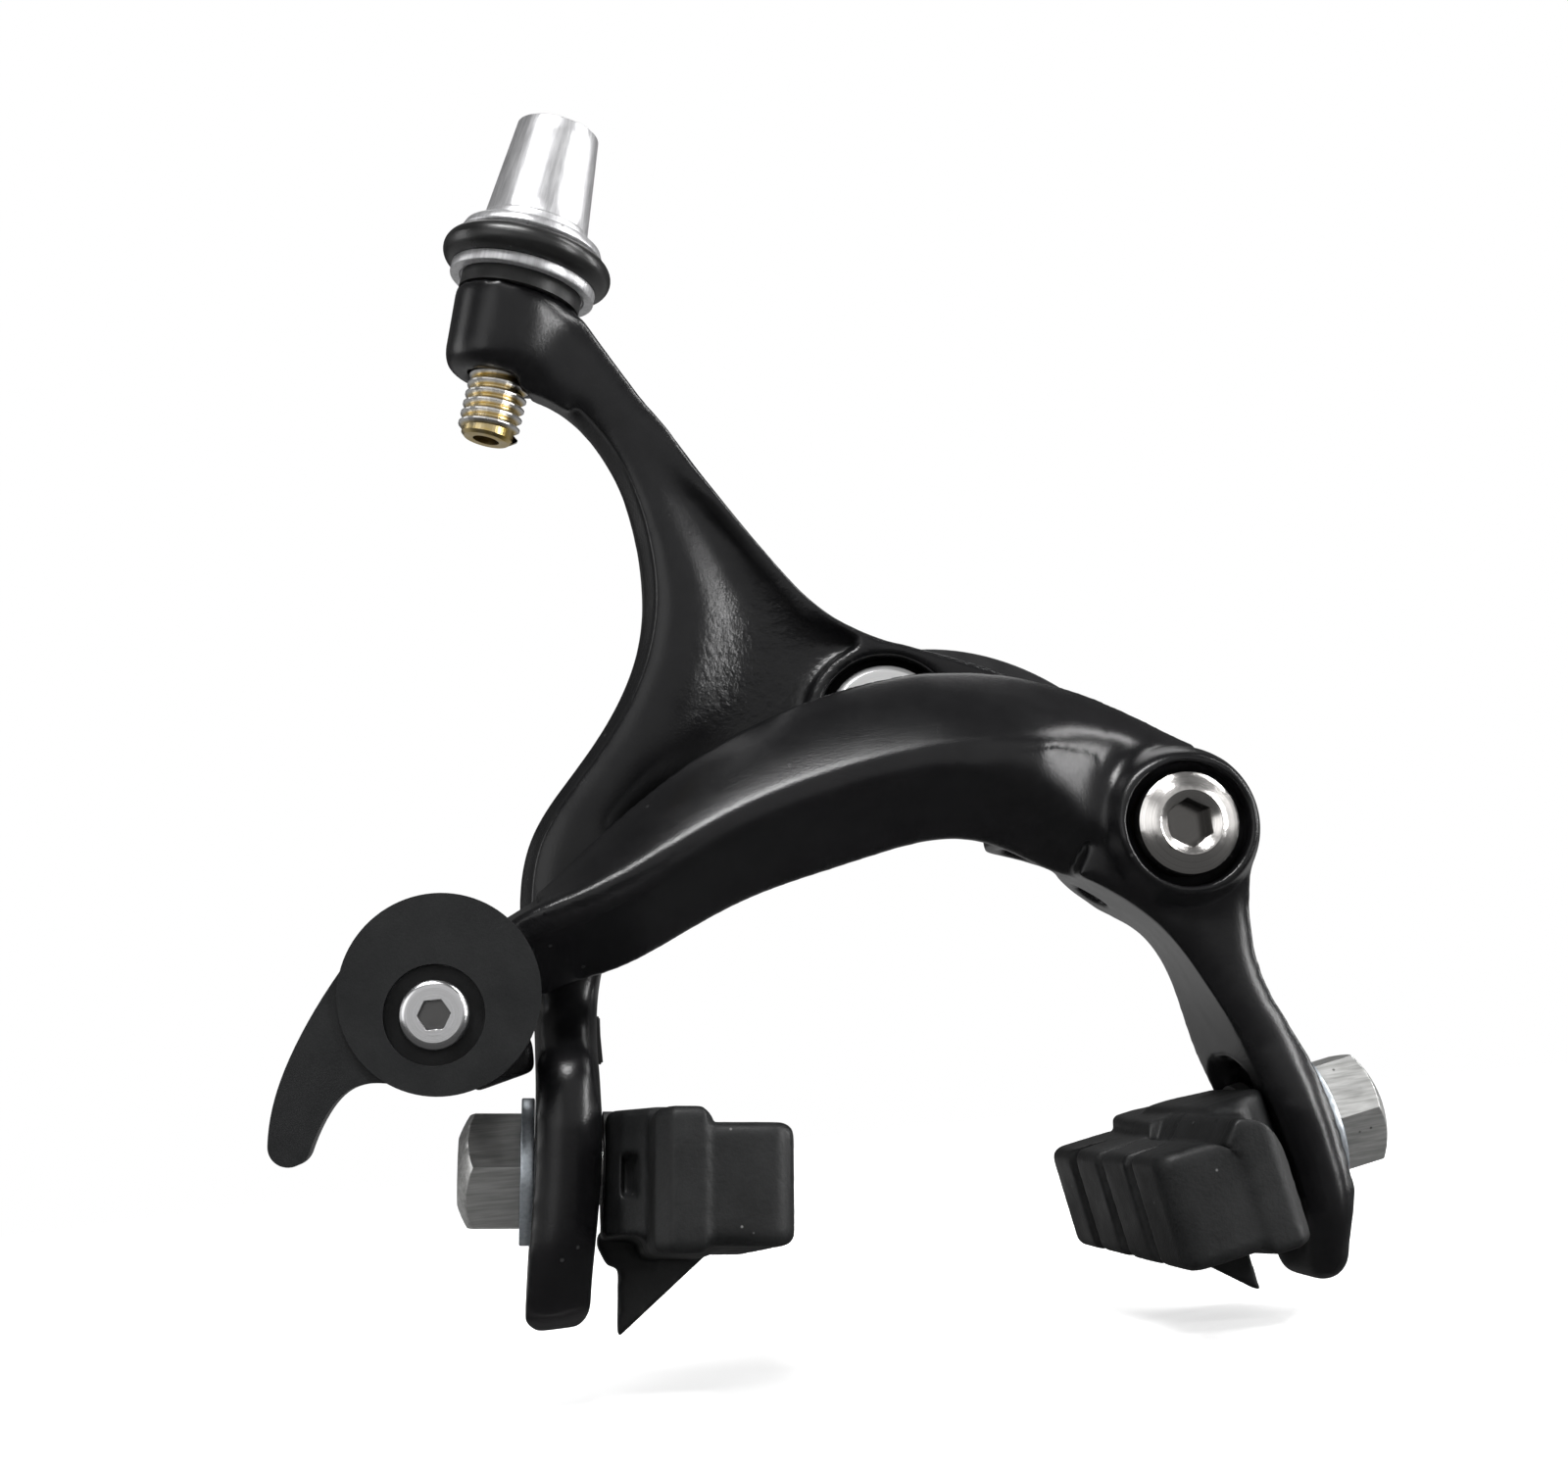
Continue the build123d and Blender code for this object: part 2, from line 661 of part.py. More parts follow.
def shoe():
    """A brake shoe with its rubbing face at x = 0, its back towards +X and its stud's line at height 0."""
    back = block_thick + carrier_thick
    hump = back + carrier_hump
    carrier_low = -stud_rise - carrier_height / 2
    carrier = Pos(0, 0, carrier_low) * extrude(carrier_plan(), carrier_height)
    carrier = fillet(rim_edges(carrier), carrier_rim_r)
    mound = Polyline((block_thick + 1, -hump_foot), (back, -hump_foot), (hump, -hump_half), (hump, hump_half),
                     (back, hump_foot), (block_thick + 1, hump_foot), close=True)
    mound = Pos(0, 0, -hump_half) * extrude(make_face(mound), hump_half + hump_rise)
    mound = fillet(mound.faces().sort_by(Axis.Z)[-1].edges(), carrier_rim_r)
    fin_edge = hump - fin_inset
    fin_top = carrier_low + fin_lap
    fin_low = carrier_low - fin_height
    fin = Polyline((fin_edge, fin_top), (fin_edge, fin_low), (fin_edge - fin_width, fin_top), close=True)
    fin = extrude(Plane.XZ.offset(fin_depth - shoe_depth) * make_face(fin), fin_thick / 2, both=True)
    return shoe_block() + carrier + mound + fin


def shoe_stack(stud, tilt, pitch, leg_width, right):
    """The shoe of one side with its stud, spacer, washer and nut, in place on the leg."""
    back = block_thick + carrier_thick + carrier_hump
    spacer_x = back
    washer_x = back + spacer_thick + leg_width
    nut_x = washer_x + washer_thick
    along_x = Plane(origin=(0, 0, 0), x_dir=(0, 1, 0), z_dir=(1, 0, 0))

    def collar(outer, inner, start, length):
        face = Circle(outer) - Circle(inner)
        return extrude(along_x.offset(start) * face, length)

    stud_start = back - stud_embed
    stud_line = along_x.offset(stud_start) * Circle(stud_r)
    outline = RegularPolygon(nut_af / 2, 6, major_radius=False) - Circle(stud_r)
    dome = Pos(nut_x + nut_length - nut_dome_r, 0, 0) * Sphere(nut_dome_r)
    nut = extrude(along_x.offset(nut_x) * outline, nut_length) & dome
    pieces = {
        "shoe": shoe() - extrude(stud_line, 20),
        "stud": extrude(stud_line, nut_x + nut_length - stud_sunk - stud_start),
        "spacer": collar(spacer_r, stud_r, spacer_x, spacer_thick),
        "washer": collar(washer_r, stud_r, washer_x, washer_thick),
        "nut": nut,
    }
    x, z = stud
    start = Pos(-back - spacer_thick, 0, 0)
    for name, piece in pieces.items():
        piece = Rot(pitch, 0, 0) * start * piece
        if not right:
            piece = piece.mirror(Plane.YZ)
        turn = -tilt if right else tilt
        pieces[name] = Pos(x, -shoe_depth, z) * Rot(0, turn, 0) * piece
    return pieces


def knob():
    """The aluminium adjuster knob: two flanges with a groove between them, a collar and a cone."""
    low = knob_low
    groove_low = low + low_flange_thick
    flange_low = groove_low + 2 * ring_section_r
    flange_high = flange_low + flange_thick
    collar_high = flange_high + collar_height
    top = collar_high + cone_height
    lower = [(0, low), (flange_r, low), (flange_r, groove_low), (groove_r, groove_low),
             (groove_r, flange_low)]
    flange = [(flange_r - flange_bevel, flange_low), (flange_r, flange_low + flange_bevel),
              (flange_r - flange_bevel, flange_high)]
    upper = [(collar_r, flange_high), (collar_r - collar_draft, collar_high), (cone_base_r, collar_high),
             (cone_top_r, top), (0, top)]
    half = Polyline(*lower, *flange, *upper, close=True)
    body = revolve(Plane.XZ * make_face(half), Axis.Z)
    body -= Pos(0, 0, top - housing_depth / 2) * Cylinder(housing_r, housing_depth)
    body -= Pos(0, 0, low) * Cylinder(cable_bore_r, 2 * top)
    body -= Pos(0, 0, low) * Cylinder(thread_r + running_gap, 2 * (barrel_above + thread_gap - low))
    body -= Pos(0, 0, low) * Cylinder(seat_r + seat_gap, 2 * (seat_sunk + thread_gap))
    return body


def barrel():
    """The threaded tube; its thread is drawn as rings of the true pitch."""
    count = int((barrel_below - cable_boss_down) / thread_pitch)
    points = [(cable_bore_r, -barrel_below), (thread_r - thread_depth, -barrel_below)]
    for i in range(count):
        z = -barrel_below + i * thread_pitch
        points += [(thread_r, z + 0.4 * thread_pitch), (thread_r, z + 0.6 * thread_pitch),
                   (thread_r - thread_depth, z + 0.95 * thread_pitch)]
    points += [(thread_r, -barrel_below + count * thread_pitch + 0.3), (thread_r, barrel_above),
               (cable_bore_r, barrel_above)]
    return revolve(Plane.XZ * make_face(Polyline(*points, close=True)), Axis.Z)


def adjuster_pieces():
    groove_middle = knob_low + low_flange_thick + ring_section_r
    ring_r = groove_r + ring_section_r
    seat_top = cable_boss_up + seat_thick
    return {
        "adjuster_knob": cable_axis() * knob(),
        "adjuster_barrel": cable_axis() * barrel(),
        "adjuster_seat": cable_axis() * tube(seat_r, thread_r + running_gap, cable_boss_up, seat_top),
        "adjuster_o_ring": cable_axis() * Pos(0, 0, groove_middle) * Torus(ring_r, ring_section_r),
    }


def qr_lever():
    """The moulded lever: a disc with a tail that hooks down and back."""
    top_end = (end_x - 3.6, end_z + lever_disc_r * 0.9)
    low_end = (end_x - 1.5, end_z - lever_disc_r * 0.98)
    tail_outer = Spline(top_end, *drawn((-51.4, -18.2), (-56.1, -24.6), (-58.6, -30.0), (-59.2, -33.0)))
    tip = ThreePointArc(*drawn((-59.2, -33.0), (-57.8, -34.9), (-55.9, -34.0)))
    tail_inner = Spline(*drawn((-55.9, -34.0), (-54.4, -31.2), (-52.0, -29.0), (-49.0, -28.9)), low_end)
    rear = end_front + lever_gap
    front = rear + lever_thick
    outline = make_face([tail_outer, tip, tail_inner, Line(low_end, top_end)])
    body = extrude(at(rear) * outline, lever_thick - tail_drop)
    body += disc(end_x, end_z, lever_disc_r, rear, front)
    body -= disc(qr_x, qr_z, qr_screw_r, 0, front)
    body -= disc(qr_x, qr_z, qr_shaft_r, 0, rear + qr_shaft_sunk)
    return body - disc(qr_x, qr_z, qr_recess_r, front - qr_recess_depth, 2 * front)


def qr_pieces():
    rear = end_front + lever_gap
    seat = rear + lever_thick - qr_recess_depth
    screw = disc(qr_x, qr_z, qr_screw_r, rear - qr_screw_grip, seat)
    head = disc(qr_x, qr_z, qr_head_r, seat, seat + qr_head_thick)
    head = fillet(head.edges().sort_by(Axis.Y)[0], 0.7)
    head -= hex_prism(qr_x, qr_z, qr_socket_af, seat + 0.6, seat + 5)
    shaft = disc(qr_x, qr_z, qr_shaft_r, end_rear, rear + qr_shaft_sunk)
    shaft -= disc(qr_x, qr_z, qr_screw_r, rear - qr_screw_grip, seat)
    shaft += disc(qr_x, qr_z, qr_shaft_r + qr_flange_lap, end_rear - qr_flange_thick, end_rear)
    plate_front = end_rear - qr_flange_thick - cable_gap
    plate_rear = plate_front - clamp_plate_thick
    shaft += disc(qr_x, qr_z, clamp_pin_r, plate_rear - clamp_nut_thick, end_rear)
    square = Rot(0, 0, clamp_turn) * Rectangle(clamp_plate_size, clamp_plate_size)
    plate = extrude(at(plate_rear) * Pos(qr_x, qr_z) * square, clamp_plate_thick)
    plate -= disc(qr_x, qr_z, clamp_pin_r, 0, end_rear)
    nut = hex_prism(qr_x, qr_z, clamp_nut_af, plate_rear - clamp_nut_thick, plate_rear)
    nut -= disc(qr_x, qr_z, clamp_pin_r, 0, end_rear)
    return {"qr_screw": screw + head, "qr_shaft": shaft, "cable_plate": plate, "cable_nut": nut}


def contact_screw():
    """The grub screw in the lug; its tip stops short of the horn by the contact gap."""
    low, tip = contact_screw_low, contact_screw_reach - contact_gap
    body = Cylinder(contact_screw_r - thread_gap, tip - low)
    return contact_screw_axis() * Pos(0, 0, (low + tip) / 2) * body


def set_screw():
    body = Pos(0, 0, 1.2) * Cylinder(set_screw_r - thread_gap, 1.8)
    socket = Pos(0, 0, 0.2) * extrude(RegularPolygon(0.9, 6, major_radius=False), 1.2)
    return set_screw_axis() * (body - socket)


pieces = {
    "bracket": bracket(),
    "serrated_washer": serrated_washer(),
    "centre_bolt": centre_bolt(),
    "centre_thrust_washer": ring(0, 0, bracket_hub_r - 1.0, journal_r + running_gap, bracket_front, arm_rear),
    "centre_bush": bush(0, 0, arm_rear, recess_floor),
    "centre_nut": centre_nut(),
    "side_pivot_bolt": side_pivot_bolt(),
    "pivot_thrust_washer": ring(side_pivot_x, side_pivot_z, bracket_end_r, journal_r + running_gap,
                                bracket_front, arm_rear),
    "pivot_bush": bush(side_pivot_x, side_pivot_z, arm_rear, head_rear),
    "spring_post": disc(spring_post_x, spring_post_z, spring_post_r, serrated_thick, bracket_front + 0.2),
    "return_spring": return_spring(),
    "spring_slider": spring_slider(),
    "c_arm": c_arm(),
    "y_arm": y_arm(),
    "contact_screw": contact_screw(),
    "set_screw": set_screw(),
    "qr_lever": qr_lever(),
}
pieces.update(adjuster_pieces())
pieces.update(qr_pieces())
stacks = {
    "left": shoe_stack(left_stud, left_tilt, left_pitch, left_leg_width, False),
    "right": shoe_stack(right_stud, right_tilt, right_pitch, right_leg_width, True),
}
names = {"shoe": "brake_shoe", "stud": "shoe_stud", "spacer": "shoe_spacer", "washer": "shoe_washer",
         "nut": "shoe_nut"}
for hand, stack in stacks.items():
    for key, piece in stack.items():
        pieces[f"{hand}_{names[key]}"] = piece

for name, piece in pieces.items():
    export_step(piece, f"parts/{name}.step")
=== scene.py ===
import json
from math import cos, radians, sin

import bmesh
import bpy
from mathutils import Matrix, Vector

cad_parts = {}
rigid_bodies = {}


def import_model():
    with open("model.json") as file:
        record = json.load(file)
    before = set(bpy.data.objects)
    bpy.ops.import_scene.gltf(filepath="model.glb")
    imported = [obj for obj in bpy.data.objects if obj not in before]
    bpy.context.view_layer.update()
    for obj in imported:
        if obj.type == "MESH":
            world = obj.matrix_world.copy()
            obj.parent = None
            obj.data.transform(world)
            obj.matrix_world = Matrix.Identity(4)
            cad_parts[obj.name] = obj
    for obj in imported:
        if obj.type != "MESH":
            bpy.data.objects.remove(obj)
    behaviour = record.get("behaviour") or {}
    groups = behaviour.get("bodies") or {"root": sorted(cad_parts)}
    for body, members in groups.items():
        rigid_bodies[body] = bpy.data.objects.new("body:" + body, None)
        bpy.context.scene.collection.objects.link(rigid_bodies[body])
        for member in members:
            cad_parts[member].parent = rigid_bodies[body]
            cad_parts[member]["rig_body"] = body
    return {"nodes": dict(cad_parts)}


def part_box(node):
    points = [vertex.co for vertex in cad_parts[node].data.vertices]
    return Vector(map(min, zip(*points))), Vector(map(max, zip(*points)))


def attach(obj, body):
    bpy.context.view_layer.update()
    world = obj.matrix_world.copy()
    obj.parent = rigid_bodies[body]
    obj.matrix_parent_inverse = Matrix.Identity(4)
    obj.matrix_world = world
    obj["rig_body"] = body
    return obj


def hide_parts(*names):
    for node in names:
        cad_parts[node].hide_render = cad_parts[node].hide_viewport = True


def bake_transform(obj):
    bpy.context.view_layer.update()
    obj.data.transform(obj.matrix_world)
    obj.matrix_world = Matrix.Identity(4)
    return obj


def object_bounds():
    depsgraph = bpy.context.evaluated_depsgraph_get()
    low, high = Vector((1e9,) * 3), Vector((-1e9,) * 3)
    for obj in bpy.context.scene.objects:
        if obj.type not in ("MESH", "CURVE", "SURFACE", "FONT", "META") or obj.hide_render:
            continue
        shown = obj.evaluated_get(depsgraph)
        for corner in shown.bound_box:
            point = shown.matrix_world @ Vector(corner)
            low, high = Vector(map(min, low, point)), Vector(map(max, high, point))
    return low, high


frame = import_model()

cad_low, cad_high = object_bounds()
NODES = frame["nodes"]
MM = 0.001
SIDE_PIVOT = Vector((24.5, 0.0, -13.3)) * MM
CABLE_FOOT = Vector((-32.8, -10.8, 41.0)) * MM
CABLE_LEAN = radians(17.7)
LEAN_TURN = (0.0, CABLE_LEAN, 0.0)
CABLE_LINE = Matrix.Translation(CABLE_FOOT) @ Matrix.Rotation(CABLE_LEAN, 4, "Y")
QR_CENTRE = Vector((-44.6, 0.0, -23.6)) * MM
ALONG_Y, ALONG_Z = (1.0, 0.0, 1.0), (1.0, 1.0, 0.0)

# The floor, and the room that only reflections show: ways to its bright parts, and their levels
FLOOR_FADE_START, FLOOR_FADE_END = 0.12, 0.45
FLOOR_GLOW = 0.6
ROOM_PALE_WAY, ROOM_PALE_EDGE, ROOM_PALE_CORE = (0.15, -0.97, 0.2), 0.75, 0.93
ROOM_LEFT_WAY, ROOM_LEFT_EDGE, ROOM_LEFT_CORE = (-0.66, -0.7, 0.25), 0.88, 0.97
ROOM_BAND_HEIGHT, ROOM_BAND_DEPTH = (0.3, 0.55), (0.2, 0.6)
ROOM_PALE, ROOM_LEFT, ROOM_SIDE, ROOM_DARK = 0.5, 1.4, 0.5, 0.08
SHEET_TURN, SHEET_GREY = (0.01, 0.06), 0.35
DOME_RADIUS = 1.2
AMBIENT = 0.4

# Finishes, in millimetres: the casting's rough field, the thread's grooves and the painted shade in a socket
CAST_FIELD = (Vector((-9.0, -12.5, 6.0)) * MM, 12.0 * MM)
LUMP_SCALE, LUMP_HEIGHT = 1100.0, 0.12
GROOVE_R, CREST_R = 2.6, 2.85
# painted shade: the colour, depths, share and edge of the darkening laid inside a socket
PAINTED_SOCKET_SHADE, PAINTED_SOCKET_SHADE_START, PAINTED_SOCKET_SHADE_FULL, PAINTED_SOCKET_SHADE_SHARE, PAINTED_SOCKET_SHADE_EDGE = (0.05, 0.048, 0.045), 0.3, 1.2, 0.85, 0.15
PIVOT_SOCKET_R, BUTTON_SOCKET_R = 2.5, 1.5

# Meshes, in millimetres: what counts as one point, and the voxels of the skins
MERGE = 0.002
ARM_VOXEL, SHOE_VOXEL = 0.32, 0.3


# Shader groups that several finishes share

def new_group(name, inputs, outputs):
    """An empty node group with float or vector sockets."""
    group = bpy.data.node_groups.new(name, "ShaderNodeTree")
    for socket, kind, value in inputs:
        made = group.interface.new_socket(socket, in_out="INPUT", socket_type="NodeSocket" + kind)
        made.default_value = value
    for socket, kind in outputs:
        group.interface.new_socket(socket, in_out="OUTPUT", socket_type="NodeSocket" + kind)
    return group, group.nodes.new("NodeGroupInput"), group.nodes.new("NodeGroupOutput")


def math_node(tree, operation, first, second=None):
    node = tree.nodes.new("ShaderNodeMath")
    node.operation = operation
    for socket, value in zip(node.inputs, (first, second)):
        if value is None:
            continue
        if isinstance(value, (int, float)):
            socket.default_value = value
        else:
            tree.links.new(value, socket)
    return node.outputs[0]


def noise_node(tree, vector, scale, detail=3.0, rough=0.55):
    node = tree.nodes.new("ShaderNodeTexNoise")
    node.inputs["Detail"].default_value = detail
    node.inputs["Roughness"].default_value = rough
    tree.links.new(vector, node.inputs["Vector"])
    if isinstance(scale, (int, float)):
        node.inputs["Scale"].default_value = scale
    else:
        tree.links.new(scale, node.inputs["Scale"])
    return node.outputs["Fac"]


def spread(tree, value, low, high, out_low=0.0, out_high=1.0):
    """Stretches a value between two ends and clamps it."""
    node = tree.nodes.new("ShaderNodeMapRange")
    for socket, given in zip(("From Min", "From Max", "To Min", "To Max"), (low, high, out_low, out_high)):
        if isinstance(given, (int, float)):
            node.inputs[socket].default_value = given
        else:
            tree.links.new(given, node.inputs[socket])
    tree.links.new(value, node.inputs["Value"])
    return node.outputs["Result"]


def object_place(tree):
    return tree.nodes.new("ShaderNodeTexCoord").outputs["Object"]


def vector_node(tree, operation, first, second=None):
    """One operation on a linked vector, and on a second that is linked or given."""
    node = tree.nodes.new("ShaderNodeVectorMath")
    node.operation = operation
    tree.links.new(first, node.inputs[0])
    if isinstance(second, bpy.types.NodeSocket):
        tree.links.new(second, node.inputs[1])
    elif second is not None:
        node.inputs[1].default_value = second
    return node.outputs["Value" if operation in ("LENGTH", "DISTANCE", "DOT_PRODUCT") else "Vector"]


def parts_of(tree, vector):
    parts = tree.nodes.new("ShaderNodeSeparateXYZ")
    tree.links.new(vector, parts.inputs[0])
    return parts.outputs


def off_axis(tree, vector, axis):
    """How far a place lies from an axis through the origin."""
    return vector_node(tree, "LENGTH", vector_node(tree, "MULTIPLY", vector, axis))


def build_grain():
    """Fine and coarse unevenness of a surface."""
    group, given, made = new_group(
        "surface_grain",
        [("Fine scale", "Float", 4000.0), ("Coarse scale", "Float", 300.0), ("Coarse share", "Float", 0.3)],
        [("Height", "Float"), ("Tone", "Float")])
    place = object_place(group)
    fine = noise_node(group, place, given.outputs["Fine scale"], 2.0)
    coarse = noise_node(group, place, given.outputs["Coarse scale"], 4.0)
    lifted = math_node(group, "MULTIPLY", coarse, given.outputs["Coarse share"])
    group.links.new(math_node(group, "ADD", fine, lifted), made.inputs["Height"])
    group.links.new(spread(group, coarse, 0.3, 0.7), made.inputs["Tone"])
    return group


def build_specks():
    """Small scattered specks, such as dust or chips."""
    group, given, made = new_group(
        "scattered_specks", [("Scale", "Float", 900.0), ("Amount", "Float", 0.1)], [("Mask", "Float")])
    cells = group.nodes.new("ShaderNodeTexVoronoi")
    group.links.new(object_place(group), cells.inputs["Vector"])
    group.links.new(given.outputs["Scale"], cells.inputs["Scale"])
    near = spread(group, cells.outputs["Distance"], 0.06, 0.16, 1.0, 0.0)
    picked = group.nodes.new("ShaderNodeSeparateColor")
    group.links.new(cells.outputs["Color"], picked.inputs["Color"])
    kept = math_node(group, "LESS_THAN", picked.outputs["Red"], given.outputs["Amount"])
    group.links.new(math_node(group, "MULTIPLY", near, kept), made.inputs["Mask"])
    return group


def build_turned():
    """Fine rings left by turning, round an axis along Y through a centre."""
    group, given, made = new_group(
        "turned_rings", [("Centre", "Vector", (0.0, 0.0, 0.0)), ("Scale", "Float", 3000.0)],
        [("Height", "Float"), ("Tone", "Float")])
    away = vector_node(group, "SUBTRACT", object_place(group), given.outputs["Centre"])
    join = group.nodes.new("ShaderNodeCombineXYZ")
    group.links.new(off_axis(group, away, ALONG_Y), join.inputs["X"])
    rings = noise_node(group, join.outputs[0], given.outputs["Scale"], 3.0, 0.7)
    group.links.new(rings, made.inputs["Height"])
    group.links.new(spread(group, rings, 0.35, 0.65), made.inputs["Tone"])
    return group


def build_streaks():
    """Fine lines drawn along one direction, as brushing or drawing leaves them."""
    group, given, made = new_group(
        "drawn_streaks",
        [("Turn", "Vector", (0.0, 0.0, 0.0)), ("Scale", "Float", 2500.0), ("Length", "Float", 0.03)],
        [("Height", "Float"), ("Tone", "Float")])
    turned = group.nodes.new("ShaderNodeMapping")
    turned.vector_type = "TEXTURE"
    group.links.new(object_place(group), turned.inputs["Vector"])
    group.links.new(given.outputs["Turn"], turned.inputs["Rotation"])
    parts = parts_of(group, turned.outputs[0])
    joined = group.nodes.new("ShaderNodeCombineXYZ")
    group.links.new(parts["X"], joined.inputs["X"])
    group.links.new(parts["Y"], joined.inputs["Y"])
    group.links.new(math_node(group, "MULTIPLY", parts["Z"], given.outputs["Length"]), joined.inputs["Z"])
    lines = noise_node(group, joined.outputs[0], given.outputs["Scale"], 3.0, 0.6)
    group.links.new(lines, made.inputs["Height"])
    group.links.new(spread(group, lines, 0.35, 0.65), made.inputs["Tone"])
    return group


GRAIN = build_grain()
SPECKS = build_specks()
TURNED = build_turned()
STREAKS = build_streaks()


class Finish:
    """A material under construction: one Principled shader and what feeds it."""

    def __init__(self, name, colour, metallic, roughness, specular=0.5):
        self.material = bpy.data.materials.new(name)
        self.material.use_nodes = True
        self.tree = self.material.node_tree
        self.shader = self.tree.nodes["Principled BSDF"]
        self.shader.inputs["Base Color"].default_value = (*colour, 1.0)
        self.shader.inputs["Metallic"].default_value = metallic
        self.shader.inputs["Roughness"].default_value = roughness
        self.shader.inputs["Specular IOR Level"].default_value = specular
        self.material.diffuse_color = (*colour, 1.0)
        self.normal = None

    def group(self, tree, **values):
        node = self.tree.nodes.new("ShaderNodeGroup")
        node.node_tree = tree
        for socket, value in values.items():
            node.inputs[socket.replace("_", " ")].default_value = value
        return node.outputs

    def colour_between(self, mask, first, second):
        """Colour runs from the first to the second as the mask rises."""
        mix = self.tree.nodes.new("ShaderNodeMix")
        mix.data_type = "RGBA"
        mix.inputs["A"].default_value = (*first, 1.0)
        mix.inputs["B"].default_value = (*second, 1.0)
        self.tree.links.new(mask, mix.inputs["Factor"])
        self.tree.links.new(mix.outputs["Result"], self.shader.inputs["Base Color"])

    def over_colour(self, mask, colour):
        """Lays another colour over what feeds Base Color, where the mask is."""
        before = self.shader.inputs["Base Color"].links[0].from_socket
        mix = self.tree.nodes.new("ShaderNodeMix")
        mix.data_type = "RGBA"
        self.tree.links.new(before, mix.inputs["A"])
        mix.inputs["B"].default_value = (*colour, 1.0)
        self.tree.links.new(mask, mix.inputs["Factor"])
        self.tree.links.new(mix.outputs["Result"], self.shader.inputs["Base Color"])

    def roughness_between(self, mask, low, high):
        self.tree.links.new(spread(self.tree, mask, 0.0, 1.0, low, high), self.shader.inputs["Roughness"])

    def bump(self, height, distance):
        """Adds a bump of that many millimetres on top of what is there."""
        node = self.tree.nodes.new("ShaderNodeBump")
        node.inputs["Distance"].default_value = distance * MM
        node.inputs["Strength"].default_value = 1.0
        self.tree.links.new(height, node.inputs["Height"])
        if self.normal:
            self.tree.links.new(self.normal, node.inputs["Normal"])
        self.normal = node.outputs["Normal"]
        self.tree.links.new(self.normal, self.shader.inputs["Normal"])


def arm_paint(name, rough_field=None):
    """Satin black stove enamel with a fine sparkling grain, over a rougher casting in one field."""
    made = Finish(name, (0.005, 0.005, 0.0055), 0.0, 0.3, 0.35)
    grain = made.group(GRAIN, Fine_scale=5000.0, Coarse_scale=400.0, Coarse_share=0.4)
    made.colour_between(grain["Tone"], (0.004, 0.004, 0.0045), (0.006, 0.006, 0.0065))
    made.roughness_between(grain["Tone"], 0.24, 0.27)
    made.bump(grain["Height"], 0.018)
    if rough_field:
        middle, reach = rough_field
        place = object_place(made.tree)
        away = vector_node(made.tree, "DISTANCE", place, middle)
        within = spread(made.tree, away, reach * 0.5, reach, 1.0, 0.0)
        lumps = noise_node(made.tree, place, LUMP_SCALE, 4.0, 0.6)
        made.bump(math_node(made.tree, "MULTIPLY", lumps, within), LUMP_HEIGHT)
    specks = made.group(SPECKS, Scale=700.0, Amount=0.05)
    made.over_colour(specks["Mask"], (0.03, 0.03, 0.03))
    return made.material


def steel(name, light, dark, rough, centre=None, turn=(0.0, 0.0, 0.0), line_height=0.006, metallic=1.0,
          line_scale=2600.0, socket=None):
    """Plated or plain steel, with rings where it was turned or streaks where it was drawn."""
    made = Finish(name, light, metallic, rough)
    if centre is None:
        lines = made.group(STREAKS, Turn=turn, Scale=line_scale, Length=0.04)
    else:
        lines = made.group(TURNED, Centre=centre, Scale=line_scale)
    made.colour_between(lines["Tone"], dark, light)
    grain = made.group(GRAIN, Fine_scale=2600.0, Coarse_scale=420.0, Coarse_share=0.8)
    made.roughness_between(grain["Tone"], rough * 0.9, rough * 1.15)
    made.bump(lines["Height"], line_height)
    made.bump(grain["Height"], 0.003)
    specks = made.group(SPECKS, Scale=900.0, Amount=0.06)
    made.over_colour(specks["Mask"], tuple(0.35 * part for part in dark))
    if socket:
        # painted shade darkens the socket's walls and floor
        paint_socket_shade(made, centre, *socket)
    return made.material


def paint_socket_shade(made, centre, front, radius):
    """Painted shade: a dark colour on what lies behind a depth within a radius, a socket's walls and floor.
    """
    tree = made.tree
    away = vector_node(tree, "SUBTRACT", object_place(tree), centre)
    inside = spread(tree, off_axis(tree, away, ALONG_Y),
                    (radius - PAINTED_SOCKET_SHADE_EDGE) * MM, (radius + PAINTED_SOCKET_SHADE_EDGE) * MM, 1.0, 0.0)
    behind = spread(tree, parts_of(tree, away)["Y"],
                    (front + PAINTED_SOCKET_SHADE_START) * MM, (front + PAINTED_SOCKET_SHADE_FULL) * MM, 0.0, PAINTED_SOCKET_SHADE_SHARE)
    # painted shade laid over the colour inside the socket
    made.over_colour(math_node(tree, "MULTIPLY", inside, behind), PAINTED_SOCKET_SHADE)


def thread_steel():
    """Bright worn crests, and a yellow plating that is left in the grooves."""
    made = Finish("worn_thread", (0.62, 0.61, 0.6), 1.0, 0.3)
    turned = made.tree.nodes.new("ShaderNodeMapping")
    turned.vector_type = "TEXTURE"
    turned.inputs["Location"].default_value = CABLE_FOOT
    turned.inputs["Rotation"].default_value = LEAN_TURN
    made.tree.links.new(object_place(made.tree), turned.inputs["Vector"])
    radius = off_axis(made.tree, turned.outputs[0], ALONG_Z)
    groove = spread(made.tree, radius, GROOVE_R * MM, CREST_R * MM, 1.0, 0.0)
    grain = made.group(GRAIN, Fine_scale=2600.0, Coarse_scale=500.0, Coarse_share=0.8)
    patchy = spread(made.tree, grain["Tone"], 0.0, 1.0, 0.5, 1.0)
    yellow = math_node(made.tree, "MULTIPLY", groove, patchy)
    made.colour_between(yellow, (0.74, 0.73, 0.71), (0.62, 0.44, 0.1))
    made.roughness_between(grain["Tone"], 0.25, 0.36)
    made.bump(grain["Height"], 0.01)
    return made.material


